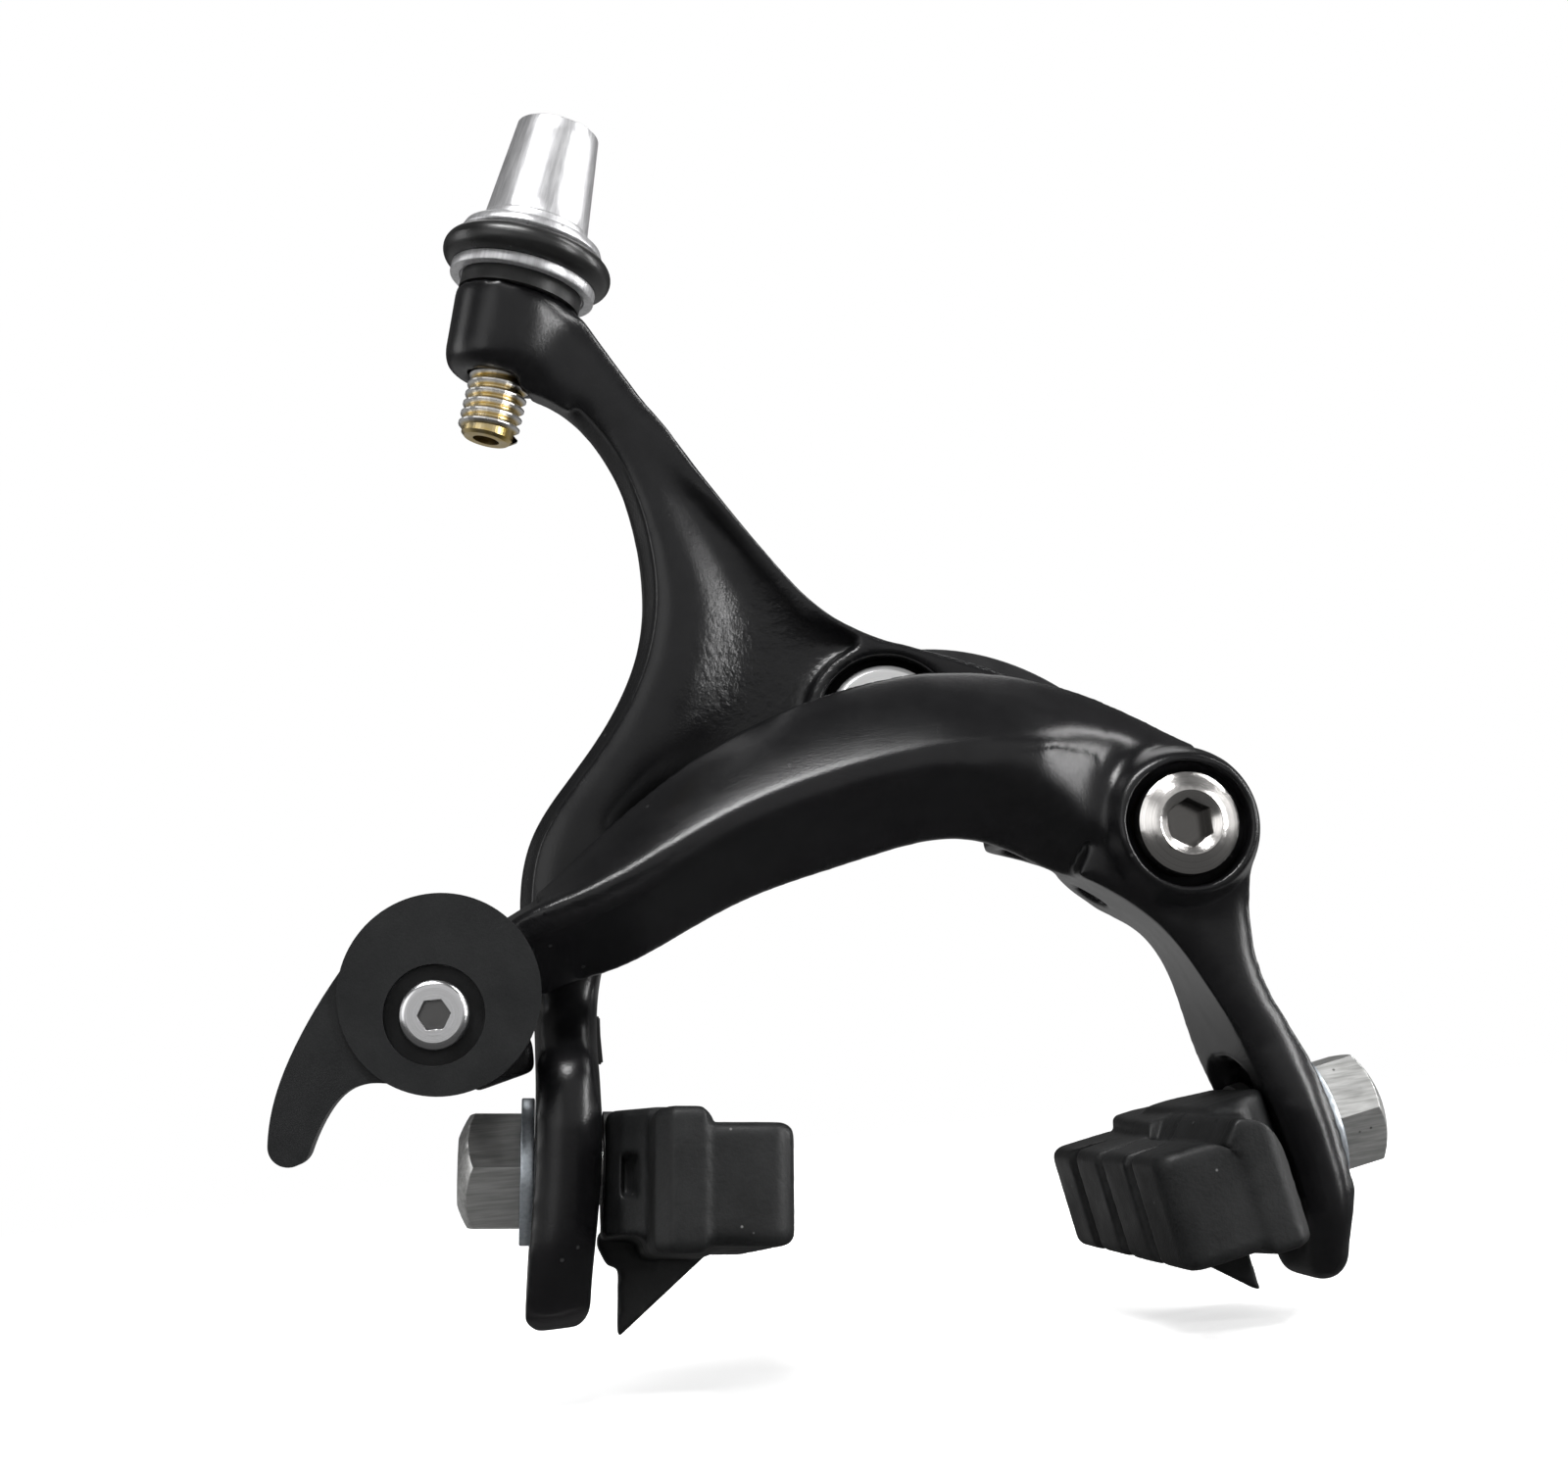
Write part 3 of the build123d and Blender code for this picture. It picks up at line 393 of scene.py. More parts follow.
def dull_black(name, dark, light, rough, grain_scale, grain_height, dust=0.0, specular=0.35):
    """Moulded plastic or rubber with a fine grain, and dust where it lies."""
    made = Finish(name, dark, 0.0, rough, specular)
    grain = made.group(GRAIN, Fine_scale=grain_scale, Coarse_scale=240.0, Coarse_share=0.6)
    made.colour_between(grain["Tone"], dark, light)
    made.roughness_between(grain["Tone"], rough * 0.85, min(1.0, rough * 1.2))
    made.bump(grain["Height"], grain_height)
    if dust:
        specks = made.group(SPECKS, Scale=1100.0, Amount=dust)
        made.over_colour(specks["Mask"], (0.12, 0.12, 0.12))
    return made.material


# Finishes of the single nodes

FINISH = {
    "paint": arm_paint("arm_paint"),
    "cast_paint": arm_paint("arm_paint_on_casting", CAST_FIELD),
    "black_metal": dull_black("bracket_black", (0.008, 0.008, 0.009), (0.018, 0.018, 0.019), 0.42,
                              3000.0, 0.015),
    "zinc": steel("zinc_plate", (0.56, 0.56, 0.55), (0.36, 0.36, 0.35), 0.32, turn=(0.0, radians(90), 0.0),
                  metallic=0.8),
    "washer_zinc": steel("washer_zinc", (0.56, 0.60, 0.64), (0.42, 0.46, 0.50), 0.36,
                         turn=(radians(90), 0.0, 0.0), metallic=0.8),
    "pivot_steel": steel("pivot_steel", (0.80, 0.78, 0.76), (0.62, 0.60, 0.58), 0.2, centre=SIDE_PIVOT,
                         line_height=0.005, line_scale=8000.0,
                         socket=(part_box("side_pivot_bolt")[0][1] / MM, PIVOT_SOCKET_R)),
    "centre_steel": steel("centre_steel", (0.85, 0.85, 0.85), (0.7, 0.7, 0.7), 0.3, centre=(0.0, 0.0, 0.0),
                          metallic=0.8),
    "button_steel": steel("button_steel", (0.85, 0.85, 0.86), (0.66, 0.66, 0.67), 0.2, centre=QR_CENTRE,
                          line_scale=8000.0, socket=(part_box("qr_screw")[0][1] / MM, BUTTON_SOCKET_R)),
    "spring": steel("spring_wire", (0.42, 0.42, 0.42), (0.25, 0.25, 0.25), 0.35),
    "black_steel": steel("black_oxide", (0.05, 0.05, 0.052), (0.02, 0.02, 0.021), 0.4),
    "bronze": steel("sintered_bronze", (0.52, 0.38, 0.2), (0.36, 0.25, 0.12), 0.45),
    "aluminium": steel("turned_aluminium", (0.62, 0.62, 0.63), (0.46, 0.46, 0.47), 0.36, turn=LEAN_TURN,
                       line_height=0.012, metallic=0.8, line_scale=3200.0),
    "thread": thread_steel(),
    "ring_rubber": dull_black("ring_rubber", (0.006, 0.006, 0.006), (0.01, 0.01, 0.01), 0.3,
                              2400.0, 0.01, 0.08, 0.5),
    "shoe_rubber": dull_black("shoe_rubber", (0.005, 0.0053, 0.0056), (0.009, 0.0094, 0.0098), 0.5,
                              2600.0, 0.03, 0.06),
    "lever_plastic": dull_black("lever_plastic", (0.0055, 0.006, 0.0065), (0.008, 0.0085, 0.009), 0.42,
                                4200.0, 0.012),
    "slider_plastic": dull_black("slider_plastic", (0.012, 0.012, 0.012), (0.018, 0.018, 0.018), 0.4,
                                 3000.0, 0.01),
}

NODE_FINISH = {
    "bracket": "black_metal", "serrated_washer": "washer_zinc", "centre_bolt": "zinc",
    "centre_thrust_washer": "washer_zinc", "centre_bush": "bronze", "centre_nut": "centre_steel",
    "side_pivot_bolt": "pivot_steel", "pivot_thrust_washer": "washer_zinc", "pivot_bush": "bronze",
    "spring_post": "zinc", "return_spring": "spring", "spring_slider": "slider_plastic",
    "c_arm": "paint", "y_arm": "cast_paint", "contact_screw": "black_steel", "set_screw": "black_steel",
    "qr_lever": "lever_plastic", "qr_screw": "button_steel", "qr_shaft": "zinc", "cable_plate": "washer_zinc",
    "cable_nut": "zinc", "adjuster_knob": "aluminium", "adjuster_barrel": "thread",
    "adjuster_seat": "slider_plastic", "adjuster_o_ring": "ring_rubber",
}
for hand in ("left", "right"):
    NODE_FINISH[hand + "_brake_shoe"] = "shoe_rubber"
    NODE_FINISH[hand + "_shoe_stud"] = "zinc"
    NODE_FINISH[hand + "_shoe_spacer"] = "slider_plastic"
    NODE_FINISH[hand + "_shoe_washer"] = "washer_zinc"
    NODE_FINISH[hand + "_shoe_nut"] = "zinc"


def give_finish(thing, finish):
    """Puts one finish on every slot of an object."""
    if not thing.material_slots:
        thing.data.materials.append(FINISH[finish])
    for slot in thing.material_slots:
        slot.material = FINISH[finish]


def break_edges(thing, width):
    """Joins a node's loose triangles and breaks its sharp edges by a small round."""
    weld = thing.modifiers.new("join", "WELD")
    weld.merge_threshold = MERGE * MM
    bevel = thing.modifiers.new("broken_edges", "BEVEL")
    bevel.width = width * MM
    bevel.segments = 2
    bevel.limit_method = "ANGLE"
    bevel.angle_limit = radians(28)
    bevel.harden_normals = True
    bevel.use_clamp_overlap = True


for node, finish in NODE_FINISH.items():
    give_finish(NODES[node], finish)
EDGE = {"qr_lever": 0.5, "qr_screw": 0.1, "bracket": 0.3, "adjuster_knob": 0.12, "left_shoe_nut": 0.15,
        "right_shoe_nut": 0.15, "left_shoe_washer": 0.15, "right_shoe_washer": 0.15, "centre_nut": 0.15,
        "side_pivot_bolt": 0.1, "cable_nut": 0.15, "cable_plate": 0.15, "spring_slider": 0.2}
for node, width in EDGE.items():
    break_edges(NODES[node], width)


# Helpers for new pieces

def add_object(name, work, material):
    """Turns a bmesh in metres into an object of the scene."""
    mesh = bpy.data.meshes.new(name)
    work.to_mesh(mesh)
    work.free()
    mesh.materials.append(material)
    made = bpy.data.objects.new(name, mesh)
    bpy.context.scene.collection.objects.link(made)
    return made


def add_piece(name, work, finish, smooth=True):
    piece = add_object(name, work, FINISH[finish])
    for face in piece.data.polygons:
        face.use_smooth = smooth
    return piece


def stands_for(piece, node):
    """The piece rides where the node rides, and hides it."""
    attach(piece, NODES[node]["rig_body"])
    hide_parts(node)
    return piece


def merged_copy(node):
    work = bmesh.new()
    work.from_mesh(NODES[node].data)
    bmesh.ops.remove_doubles(work, verts=work.verts, dist=MERGE * MM)
    return work


def settled(holder, name):
    """The holder's mesh with its modifiers taken into it."""
    graph = bpy.context.evaluated_depsgraph_get()
    mesh = bpy.data.meshes.new_from_object(holder.evaluated_get(graph))
    mesh.name = name
    return mesh


def relax(holder, rounds, group=""):
    smooth = holder.modifiers.new("relax", "SMOOTH")
    smooth.factor = 0.5
    smooth.iterations = rounds
    smooth.vertex_group = group


def mark_soft(holder, zones):
    """Weights the points in front-view zones: those that face forward, or all where the zone says so."""
    group = holder.vertex_groups.new(name="soft")
    for vertex in holder.data.vertices:
        place = Vector((vertex.co.x, vertex.co.z)) / MM
        weight = 0.0
        facing = min(1.0, max(0.0, 2.5 * (-vertex.normal.y - 0.1)))
        for x, z, reach, *all_round in zones:
            near = min(1.0, 2.0 - 2.0 * (place - Vector((x, z))).length / reach)
            weight = max(weight, near if all_round else near * facing)
        if weight > 0.0:
            group.add([vertex.index], weight, "REPLACE")


def ribbon(work, near, far, near_depth, far_depth, rear):
    """A closed strip between two runs of front-view points, each with its own depth in front."""
    rows = []
    for first, second in zip(near, far):
        corners = ((first, near_depth), (second, far_depth), (second, rear), (first, rear))
        rows.append([work.verts.new(Vector((x, -depth, z)) * MM) for (x, z), depth in corners])
    faces = [work.faces.new(rows[0]), work.faces.new(rows[-1][::-1])]
    for before, after in zip(rows, rows[1:]):
        for i in range(4):
            faces.append(work.faces.new((before[i - 1], before[i], after[i], after[i - 1])))
    bmesh.ops.recalc_face_normals(work, faces=faces)


def skinned(node, name, finish, voxel, rounds, zones=(), zone_rounds=0, ribbons=(), webs=()):
    """A new even skin over a node, its edges rounded, and rounded more in the soft zones."""
    work = merged_copy(node)
    for strip in ribbons:
        ribbon(work, *strip)
    for place in webs:
        bmesh.ops.create_cube(work, size=1.0, matrix=place)
    holder = add_piece(name, work, finish)
    skin = holder.modifiers.new("skin", "REMESH")
    skin.mode = "VOXEL"
    skin.voxel_size = voxel * MM
    relax(holder, rounds)
    mesh = settled(holder, name)
    holder.modifiers.clear()
    holder.data = mesh
    if zones:
        mark_soft(holder, zones)
        relax(holder, zone_rounds, "soft")
        holder.data = settled(holder, name)
        holder.modifiers.clear()
        holder.vertex_groups.clear()
    holder.data.materials.clear()
    holder.data.materials.append(FINISH[finish])
    for face in holder.data.polygons:
        face.use_smooth = True
    return stands_for(holder, node)


def lathe(work, profile, steps=56):
    """Spins radius and height pairs, in millimetres, round the Z axis into a closed body."""
    rim = [work.verts.new((radius * MM, 0.0, height * MM)) for radius, height in profile]
    line = [work.edges.new(pair) for pair in zip(rim, rim[1:])]
    bmesh.ops.spin(work, geom=rim + line, cent=(0, 0, 0), axis=(0, 0, 1), angle=radians(360), steps=steps,
                   use_merge=True)
    bmesh.ops.remove_doubles(work, verts=work.verts, dist=0.001 * MM)
    bmesh.ops.recalc_face_normals(work, faces=work.faces)


def wind_thread(work, core, crest, pitch, low, turns, steps=30):
    """Lays one helical ridge round the Z axis, from a height upwards."""
    before = set(work.faces)
    corners = ((core, 0.0), (crest, 0.4 * pitch), (crest, 0.56 * pitch), (core, 0.96 * pitch))
    rim = [work.verts.new((radius * MM, 0.0, (low + height) * MM)) for radius, height in corners]
    line = [work.edges.new(pair) for pair in zip(rim, rim[1:])]
    bmesh.ops.spin(work, geom=rim + line, cent=(0, 0, 0), axis=(0, 0, 1), dvec=(0, 0, pitch * MM / steps),
                   angle=radians(360) * turns, steps=steps * turns)
    ridge = [face for face in work.faces if face not in before]
    work.normal_update()
    outward = sum(face.normal.dot(Vector((*face.calc_center_median().xy, 0.0))) for face in ridge)
    if outward < 0:
        bmesh.ops.reverse_faces(work, faces=ridge)


# The forged arms: even skins with softly rounded edges

ARCH_REAR, ARCH_DEPTH = 15.2, 11.3
ARCH_CROWN, ARCH_FADE_LEFT, ARCH_FADE_RIGHT = 1.25, 10.0, 16.0
LEG_CROWN, LEG_FADE, LEG_DEPTH = 0.8, 6.0, 12.0
BORE_CLEAR, BORE_LENGTH = 3.2, 12.0
ARCH_STATIONS = [
    (-37.5, -17.4, 24, 2.2), (-30.0, -15.1, 22, 3.9), (-22.0, -11.7, 23, 5.9), (-14.0, -8.4, 19, 7.2),
    (-5.0, -6.2, 10, 8.2), (4.0, -5.4, -1, 8.6), (11.5, -6.8, -14, 9.2), (18.0, -9.4, -27, 9.2),
]


def arch_frames(steps=8):
    """Places, up directions and heights close together along the arch's ridge line."""
    frames = []
    for first, second in zip(ARCH_STATIONS, ARCH_STATIONS[1:]):
        for i in range(steps):
            share = i / steps
            x, z, angle, up = (a + (b - a) * share for a, b in zip(first, second))
            frames.append((Vector((x, z)), Vector((-sin(radians(angle)), cos(radians(angle)))), up))
    return frames


def crown_arch(arm):
    """Swells the upper slope of the arch, which the CAD has flat, into the forging's round."""
    frames = arch_frames()
    moves = []
    for vertex in arm.data.vertices:
        depth = -vertex.co.y / MM - ARCH_REAR
        if depth < 0.0 or vertex.normal.z < 0.1 or vertex.normal.y > -0.2:
            continue
        place = Vector((vertex.co.x, vertex.co.z)) / MM
        nearest, (foot, upward, height) = min(
            enumerate(frames), key=lambda f: (place - f[1][0]).length_squared)
        above = (place - foot).dot(upward)
        if above < -1.0 or above > height + 1.0 or nearest == 0 or nearest == len(frames) - 1:
            continue
        onward = Vector((upward.y, -upward.x))
        at = nearest + (place - foot).dot(onward) / (frames[nearest + 1][0] - foot).length
        across = min(1.0, max(0.0, depth / ARCH_DEPTH))
        to_end = len(frames) - 1 - at
        ends = min(1.0, max(0.0, at / ARCH_FADE_LEFT), max(0.0, to_end / ARCH_FADE_RIGHT))
        swell = ARCH_CROWN * ends * 4.0 * across * (1.0 - across)
        moves.append((vertex.index, vertex.normal * (swell * MM)))
    for index, move in moves:
        arm.data.vertices[index].co += move


def crown_leg(arm, top):
    """Swells a leg's flat front, below a height, into the forging's shallow round."""
    rows = {}
    front = [vertex for vertex in arm.data.vertices
             if vertex.normal.y < -0.6 and vertex.co.z < top * MM and vertex.co.y < -LEG_DEPTH * MM]
    for vertex in front:
        rows.setdefault(round(vertex.co.z / MM), []).append(vertex.co.x)
    spans = {row: (min(across), max(across)) for row, across in rows.items()}

    def span_at(height):
        low = int(height // 1)
        share = height - low
        first = spans.get(low) or spans[min(spans, key=lambda row: abs(row - low))]
        second = spans.get(low + 1, first)
        return (a + (b - a) * share for a, b in zip(first, second))

    for vertex in front:
        left, right = span_at(vertex.co.z / MM)
        middle, half = (left + right) / 2, (right - left) / 2
        across = min(1.0, abs(vertex.co.x - middle) / half)
        start = min(1.0, (top - vertex.co.z / MM) / LEG_FADE)
        vertex.co.y -= LEG_CROWN * start * (1.0 - across * across) * MM


def open_bore(arm):
    """Keeps the cable boss's bore clear of the thread, which the even skin has drawn narrower."""
    back = CABLE_LINE.inverted()
    for vertex in arm.data.vertices:
        point = back @ vertex.co
        reach = point.xy.length
        if reach < BORE_CLEAR * MM and abs(point.z) < BORE_LENGTH * MM:
            point.xy *= BORE_CLEAR * MM / reach
            vertex.co = CABLE_LINE @ point


# Strips that widen the rear arm's right rim, slope its left rib and close the top of its hollow
Y_FRONT, Y_FLOOR, Y_INSIDE = 14.35, 12.25, 9.5
RIM = ([(-21.4, 35.6), (-19.5, 32.4), (-14.4, 24.4), (-9.1, 16.5), (-5.4, 12.0)],
       [(-22.4, 34.9), (-20.7, 31.6), (-15.6, 23.6), (-10.3, 15.7), (-6.6, 10.6)],
       Y_FRONT, Y_FRONT, Y_INSIDE)
RIB = ([(-22.6, 30.0), (-21.9, 27.6), (-18.6, 19.6), (-16.6, 13.0), (-18.5, 6.1), (-22.6, -0.6),
        (-28.0, -6.6)],
       [(-19.0, 30.0), (-17.4, 27.6), (-14.0, 20.6), (-11.6, 13.0), (-13.6, 4.4), (-18.6, -3.6),
        (-25.0, -8.6)],
       Y_FRONT, Y_FLOOR, Y_INSIDE)
TOP = [([(-23.8, 37.0), (-22.6, 31.5)], [(-21.4, 35.6), (-18.2, 31.0)], Y_FRONT, Y_FRONT, Y_INSIDE),
       ([(-22.6, 31.5), (-18.2, 31.0)], [(-19.4, 21.5), (-12.6, 22.0)], Y_FRONT, Y_FLOOR, Y_INSIDE)]

# Soft zones: the middle in the front view, the reach, and whether sides and back are softened too
SOFT_Y = [(-20.0, 14.0, 13.0), (-26.0, 0.0, 14.0), (-24.0, 31.0, 14.0), (-32.0, -12.0, 11.0),
          (-14.0, 12.0, 12.0), (-28.0, 41.0, 7.0), (-33.5, -25.5, 8.0, True), (-34.0, -38.0, 12.0),
          (-35.5, -48.0, 9.0)]
SOFT_C = [(12.0, -8.0, 6.0), (17.0, -5.0, 9.0), (22.0, -4.5, 8.0), (29.0, -28.0, 9.0), (32.0, -40.0, 12.0),
          (34.0, -50.0, 9.0), (35.6, -53.0, 5.0, True)]
C_LEG_TOP, Y_LEG_TOP = -34.0, -28.0
c_arm_skin = skinned("c_arm", "forged_c_arm", "paint", ARM_VOXEL, 16, SOFT_C, 200)
crown_arch(c_arm_skin)
crown_leg(c_arm_skin, C_LEG_TOP)
y_arm_skin = skinned("y_arm", "forged_y_arm", "cast_paint", ARM_VOXEL, 22, SOFT_Y, 260,
                     ribbons=[RIM, RIB, *TOP])
crown_leg(y_arm_skin, Y_LEG_TOP)
open_bore(y_arm_skin)
for skin in (c_arm_skin, y_arm_skin):
    relax(skin, 4)


# The moulded shoes, with their rubber edges rounded and a slot in the holder's front end

SHOE_BACK, SHOE_TO_LEG = 14.3, 1.2
SHOE_PLACE = {"left": (-31.3, -38.9, 6.4, -5.8), "right": (30.6, -42.8, -10.0, -1.0)}

# In the shoe's own frame, in millimetres: upper corners (x, z, radius), hump, slot and guide's web
HOLDER_CORNER, BLOCK_CORNER, HOLDER_START = (11.8, 4.35, 5.0), (7.5, 3.05, 3.5), 7.6
END_START, END_FADE = 9.0, 5.0
HUMP_X, HUMP_FADE, HUMP_LOW, HUMP_RISE, HUMP_GAP = 11.5, 1.5, -8.5, 2.0, 0.1
SLOT_X, SLOT_Z, SLOT_HALF, SLOT_TALL, SLOT_DEPTH, SLOT_BEFORE = 13.4, -0.8, 0.6, 1.7, 1.8, -4.0
WEB_PLACE, WEB_SIZE = (12.2, 8.0, -6.8), (4.6, 2.8, 3.0, 1.0)


def shoe_frame(hand):
    """From the shoe's own place, its rubbing face at x = 0 and its stud at height 0, to the brake's."""
    x, z, tilt, pitch = SHOE_PLACE[hand]
    mirrored = Matrix.Scale(-1.0, 4, (1, 0, 0)) if hand == "left" else Matrix.Identity(4)
    place = Matrix.Translation((x, -15.0, z)) @ Matrix.Rotation(radians(tilt), 4, "Y") @ mirrored
    pitched = place @ Matrix.Rotation(radians(pitch), 4, "X")
    return pitched @ Matrix.Translation((-SHOE_BACK - SHOE_TO_LEG, 0, 0))


def round_over(point, corner_x, corner_z, radius, share):
    """Draws what lies outside a corner's round in to it, seen from the shoe's end."""
    out_x, out_z = point.x - (corner_x - radius), point.z - (corner_z - radius)
    far = (out_x * out_x + out_z * out_z) ** 0.5
    if out_x > 0.0 and out_z > 0.0 and far > radius:
        point.x += out_x * (radius / far - 1.0) * share
        point.z += out_z * (radius / far - 1.0) * share


def shape_shoe(piece, hand):
    """Rounds the right holder's and block's upper corners, swells each holder's hump up to the leg, and sinks
    a slot in the left holder's front end.
    """
    frame_of_shoe = shoe_frame(hand)
    back = frame_of_shoe.inverted()
    for vertex in piece.data.vertices:
        point = back @ (vertex.co / MM)
        toward_end = min(1.0, max(0.0, (abs(point.y) - END_START) / END_FADE))
        if hand == "right" and point.y < 0.0:
            if point.x > HOLDER_START:
                round_over(point, *HOLDER_CORNER, toward_end)
            else:
                round_over(point, *BLOCK_CORNER, 1.0)
        if point.x > HUMP_X:
            swell = min(1.0, (point.x - HUMP_X) / HUMP_FADE) * (1.0 - toward_end)
            rise = min(1.0, max(0.0, point.z - HUMP_LOW) / HUMP_RISE)
            point.x += (SHOE_TO_LEG - HUMP_GAP) * swell * rise
        in_slot = abs(point.x - SLOT_X) < SLOT_HALF and abs(point.z - SLOT_Z) < SLOT_TALL
        if hand == "left" and point.y < SLOT_BEFORE and in_slot:
            point.y += SLOT_DEPTH
        vertex.co = (frame_of_shoe @ point) * MM


for hand in ("left", "right"):
    shoe_metres = Matrix.Scale(MM, 4) @ shoe_frame(hand)
    web = shoe_metres @ Matrix.Translation(WEB_PLACE) @ Matrix.Diagonal(WEB_SIZE)
    shoe = skinned(hand + "_brake_shoe", "moulded_" + hand + "_shoe", "shoe_rubber", SHOE_VOXEL, 3,
                   webs=[web])
    shape_shoe(shoe, hand)
    relax(shoe, 5)


# Threads and turned pieces

def barrel_piece():
    """The adjuster's tube: a rolled thread up to the knob, and a worn end."""
    work = bmesh.new()
    lathe(work, [(1.3, -9.6), (2.2, -9.6), (2.52, -9.3), (2.52, 7.0), (1.3, 7.0), (1.3, -9.6)])
    wind_thread(work, 2.45, 3.0, 1.0, -9.45, 16)
    bmesh.ops.transform(work, matrix=CABLE_LINE, verts=work.verts)
    return stands_for(add_piece("threaded_barrel", work, "thread", False), "adjuster_barrel")


def bolt_piece():
    """The mounting bolt: threaded shank to the rear, shoulder and journal in front."""
    work = bmesh.new()
    lathe(work, [(0.0, 32.0), (2.1, 32.0), (2.5, 31.5), (2.5, 12.0), (3.0, 11.4), (3.0, 0.0), (3.3, -0.2),
                 (3.3, -6.4), (3.6, -6.4), (3.6, -11.1), (3.0, -11.1), (3.0, -13.9), (0.0, -13.9)])
    wind_thread(work, 2.45, 3.0, 1.0, 11.7, 19)
    bmesh.ops.transform(work, matrix=Matrix.Rotation(radians(-90), 4, "X"), verts=work.verts)
    return stands_for(add_piece("threaded_bolt", work, "zinc", False), "centre_bolt")


def spring_piece():
    """The return spring's wire, from its post to the moving arm, as one merged copy of the node."""
    piece = add_piece("spring_wire", merged_copy("return_spring"), "spring")
    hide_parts("return_spring")
    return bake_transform(piece)


barrel_piece()
bolt_piece()
spring_piece()


# Floor, light and camera

def background_rays(tree):
    """One where the camera looks, straight or through something, and nought where light is gathered."""
    path = tree.nodes.new("ShaderNodeLightPath")
    return math_node(tree, "MAXIMUM", path.outputs["Is Camera Ray"], path.outputs["Is Transmission Ray"])


def floor_finish():
    """Pale paint that ends in the white of the backdrop, some way round the object."""
    made = Finish("pale_floor", (0.86, 0.86, 0.86), 0.0, 0.9, 0.1)
    tree = made.tree
    far = vector_node(tree, "LENGTH", object_place(tree))
    edge = spread(tree, far, FLOOR_FADE_START, FLOOR_FADE_END)
    glow = tree.nodes.new("ShaderNodeEmission")
    glow.inputs["Strength"].default_value = FLOOR_GLOW
    lit = tree.nodes.new("ShaderNodeAddShader")
    tree.links.new(made.shader.outputs[0], lit.inputs[0])
    tree.links.new(glow.outputs[0], lit.inputs[1])
    seen = tree.nodes.new("ShaderNodeMixShader")
    tree.links.new(background_rays(tree), seen.inputs[0])
    tree.links.new(made.shader.outputs[0], seen.inputs[1])
    tree.links.new(lit.outputs[0], seen.inputs[2])
    clear = tree.nodes.new("ShaderNodeBsdfTransparent")
    fade = tree.nodes.new("ShaderNodeMixShader")
    tree.links.new(edge, fade.inputs[0])
    tree.links.new(seen.outputs[0], fade.inputs[1])
    tree.links.new(clear.outputs[0], fade.inputs[2])
    tree.links.new(fade.outputs[0], tree.nodes["Material Output"].inputs["Surface"])
    return made.material


def stage_sheet(name, half, material):
    """A flat square of the stage, as an object that is still to be placed."""
    work = bmesh.new()
    bmesh.ops.create_grid(work, x_segments=8, y_segments=8, size=half)
    sheet = add_object(name, work, material)
    return sheet


def lay_floor(height):
    floor = stage_sheet("floor", FLOOR_FADE_END, floor_finish())
    floor.location.z = height


def room_finish():
    """The room that metals mirror: pale straight ahead, grey at the sides, dim behind, above and below."""
    made = Finish("dim_room", (0.0, 0.0, 0.0), 0.0, 0.9, 0.0)
    tree = made.tree
    way = vector_node(tree, "NORMALIZE", object_place(tree))
    ahead = spread(tree, vector_node(tree, "DOT_PRODUCT", way, ROOM_PALE_WAY),
                   ROOM_PALE_EDGE, ROOM_PALE_CORE, 0.0, ROOM_PALE)
    left = spread(tree, vector_node(tree, "DOT_PRODUCT", way, ROOM_LEFT_WAY),
                  ROOM_LEFT_EDGE, ROOM_LEFT_CORE, 0.0, ROOM_LEFT)
    parts = parts_of(tree, way)
    level_band = spread(tree, math_node(tree, "ABSOLUTE", parts["Z"]), *ROOM_BAND_HEIGHT, 1.0, 0.0)
    before_object = spread(tree, parts["Y"], *ROOM_BAND_DEPTH, ROOM_SIDE, 0.0)
    sides = math_node(tree, "MULTIPLY", level_band, before_object)
    brightest = math_node(tree, "MAXIMUM", math_node(tree, "MAXIMUM", sides, ahead), left)
    whole = math_node(tree, "ADD", brightest, ROOM_DARK)
    tree.links.new(whole, made.shader.inputs["Emission Strength"])
    made.shader.inputs["Emission Color"].default_value = (1.0, 1.0, 1.0, 1.0)
    return made.material


def sheet_finish():
    """What downward faces mirror: dark before the object, and grey under it and behind."""
    made = Finish("dim_sheet", (0.0, 0.0, 0.0), 0.0, 0.9, 0.0)
    depth = parts_of(made.tree, object_place(made.tree))["Y"]
    level = spread(made.tree, depth, *SHEET_TURN, ROOM_DARK, SHEET_GREY)
    made.tree.links.new(level, made.shader.inputs["Emission Strength"])
    made.shader.inputs["Emission Color"].default_value = (1.0, 1.0, 1.0, 1.0)
    return made.material


def only_in_reflections(thing):
    thing.visible_camera = False
    thing.visible_shadow = False
    thing.visible_diffuse = False


def hang_dim_room():
    """A dome over the object and a sheet under it, which only reflections show."""
    work = bmesh.new()
    bmesh.ops.create_uvsphere(work, u_segments=48, v_segments=24, radius=DOME_RADIUS)
    whole = work.verts[:] + work.edges[:] + work.faces[:]
    bmesh.ops.bisect_plane(
        work, geom=whole, plane_co=(0, 0, cad_low.z), plane_no=(0, 0, -1), clear_outer=True)
    dome = add_object("dim_dome", work, room_finish())
    only_in_reflections(dome)
    sheet = stage_sheet("dim_sheet", DOME_RADIUS / 2, sheet_finish())
    sheet.location.z = cad_low.z - 0.5 * MM
    only_in_reflections(sheet)


def light_world():
    world = bpy.data.worlds.new("pale_studio")
    world.use_nodes = True
    bpy.context.scene.world = world
    tree = world.node_tree
    plain = tree.nodes["Background"]
    tree.links.new(spread(tree, background_rays(tree), 0.0, 1.0, AMBIENT, 1.0), plain.inputs["Strength"])
    plain.inputs["Color"].default_value = (1.0, 1.0, 1.0, 1.0)


MIDDLE = (0.0, 0.0, 0.0)

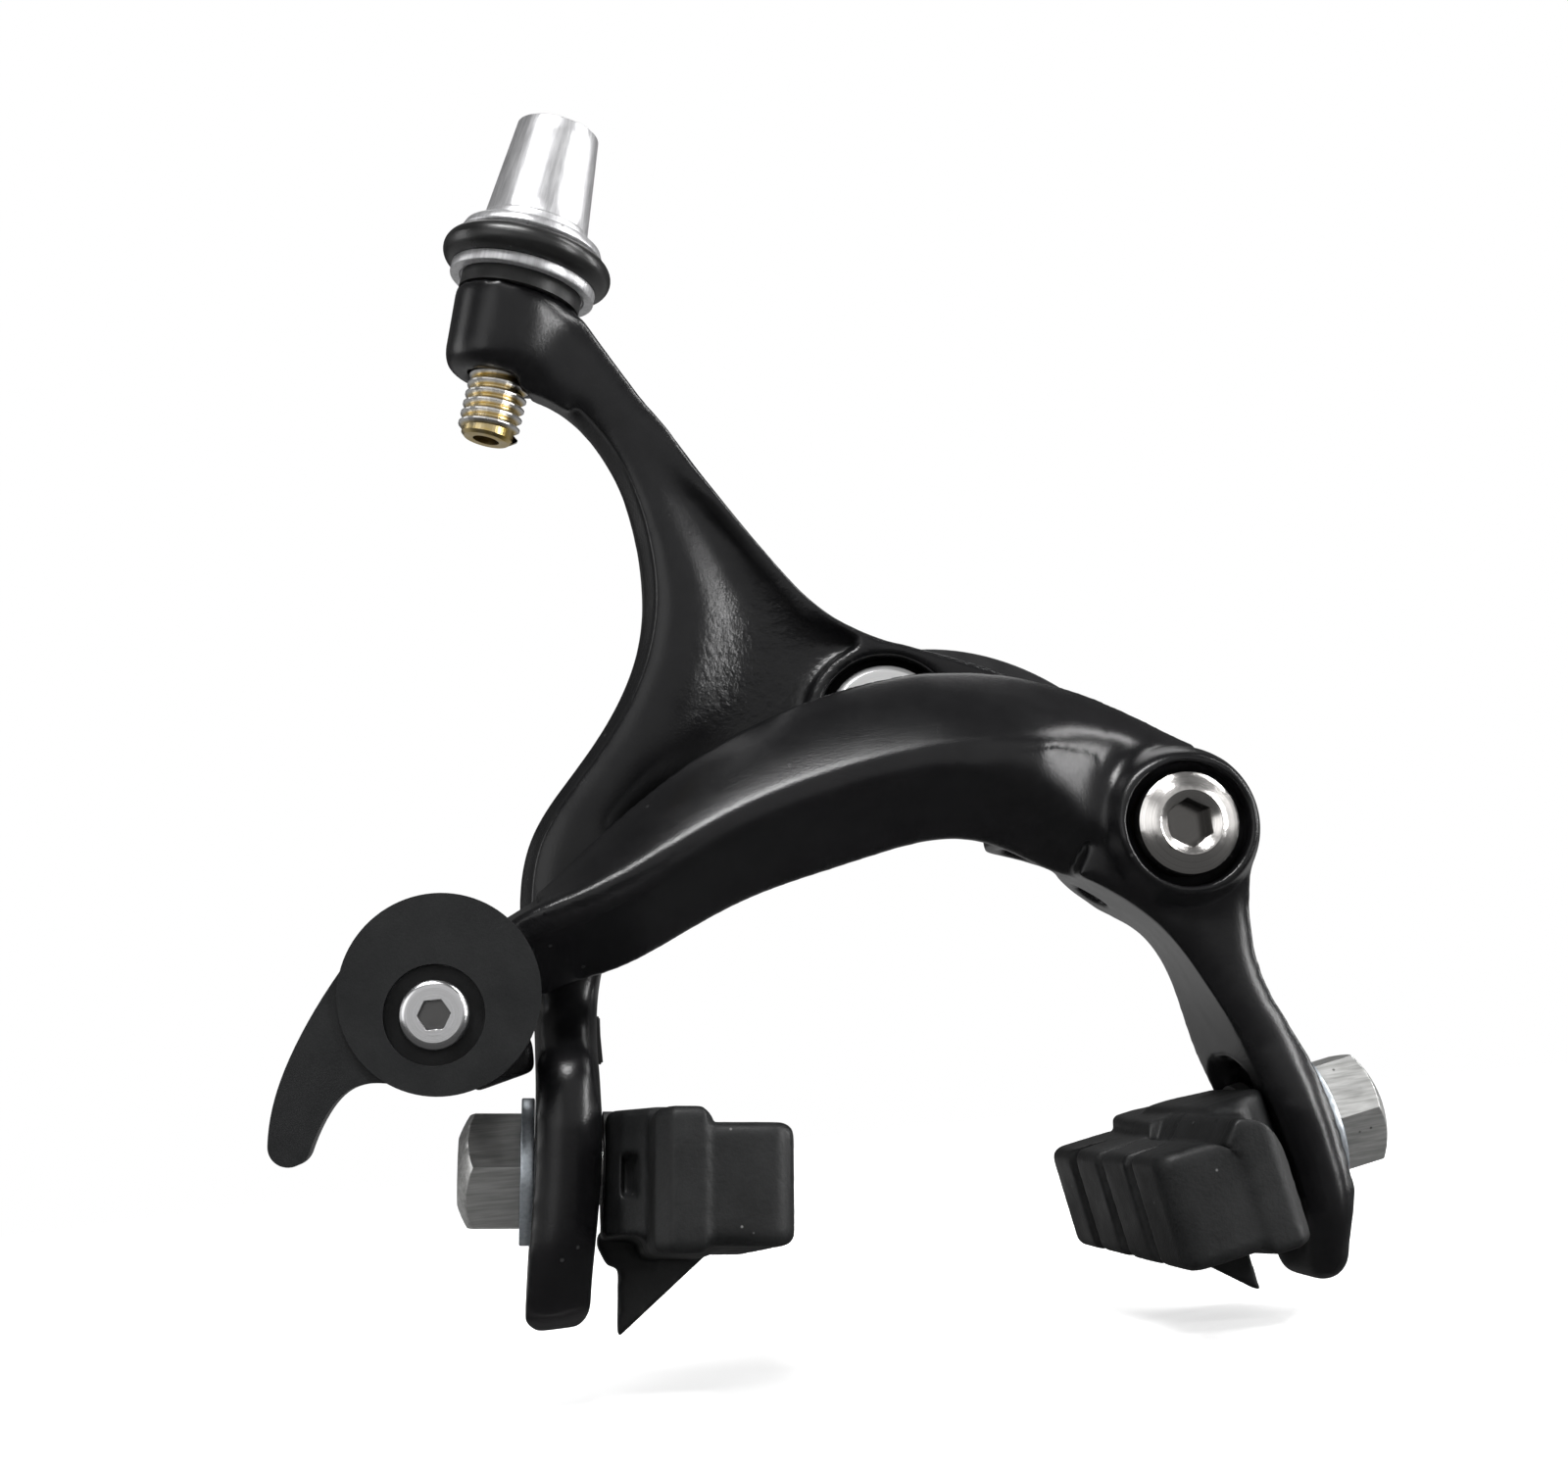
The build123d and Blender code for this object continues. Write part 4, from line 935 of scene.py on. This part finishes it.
# Name, place and aim in metres, width, height and watts
LAMPS = [
    ("top_box", (-0.12, -0.27, 0.5), MIDDLE, 0.3, 0.12, 3.3),
    ("left_box", (-0.6, 0.1, 0.2), MIDDLE, 0.2, 0.4, 0.5),
    ("right_box", (0.5, -0.1, 0.45), MIDDLE, 0.1, 0.3, 1.5),
    ("right_strip", (0.6, 0.06, 0.08), MIDDLE, 0.05, 0.4, 1.2),
    ("front_strip", (0.5, -0.36, 0.1), (0.0, 0.0, -0.02), 0.04, 0.35, 2.0),
    ("back_top_box", (0.1, 0.5, 0.6), MIDDLE, 0.5, 0.3, 0.8),
]

CAMERA_PLACE = Vector((-37.5, -216.3, -28.9)) * MM
CAMERA_YAW, CAMERA_RISE, CAMERA_ROLL = radians(6.8), radians(8.8), radians(6.2)
CAMERA_LENS, CAMERA_SENSOR = 49.5, 36.0


def add_lamp(name, place, aim, width, height, power):
    data = bpy.data.lights.new(name, "AREA")
    data.shape = "RECTANGLE"
    data.size, data.size_y, data.energy = width, height, power
    lamp = bpy.data.objects.new(name, data)
    bpy.context.scene.collection.objects.link(lamp)
    lamp.location = place
    lamp.rotation_euler = (Vector(aim) - Vector(place)).to_track_quat("-Z", "Y").to_euler()


def place_camera():
    """The photograph's view: a little from the left and below, rolled as the brake lies in it."""
    data = bpy.data.cameras.new("camera")
    data.lens, data.sensor_width = CAMERA_LENS, CAMERA_SENSOR
    data.clip_start, data.clip_end = 0.01, 20.0
    camera = bpy.data.objects.new("camera", data)
    bpy.context.scene.collection.objects.link(camera)
    yaw, rise, roll = CAMERA_YAW, CAMERA_RISE, CAMERA_ROLL
    ahead = Vector((sin(yaw) * cos(rise), cos(yaw) * cos(rise), sin(rise)))
    right = Vector((cos(yaw), -sin(yaw), 0.0))
    up = right.cross(ahead)
    turn = Matrix(((cos(roll), 0.0, -sin(roll)), (0.0, 1.0, 0.0), (sin(roll), 0.0, cos(roll))))
    rows = Matrix((right, up, ahead)) @ turn
    facing = Matrix((rows[0], rows[1], -rows[2])).transposed()
    camera.matrix_world = Matrix.Translation(CAMERA_PLACE) @ facing.to_4x4()
    bpy.context.scene.camera = camera


lay_floor(cad_low.z - 1.0 * MM)
hang_dim_room()
light_world()
for lamp in LAMPS:
    add_lamp(*lamp)
place_camera()
bpy.context.scene.view_settings.view_transform = "Standard"
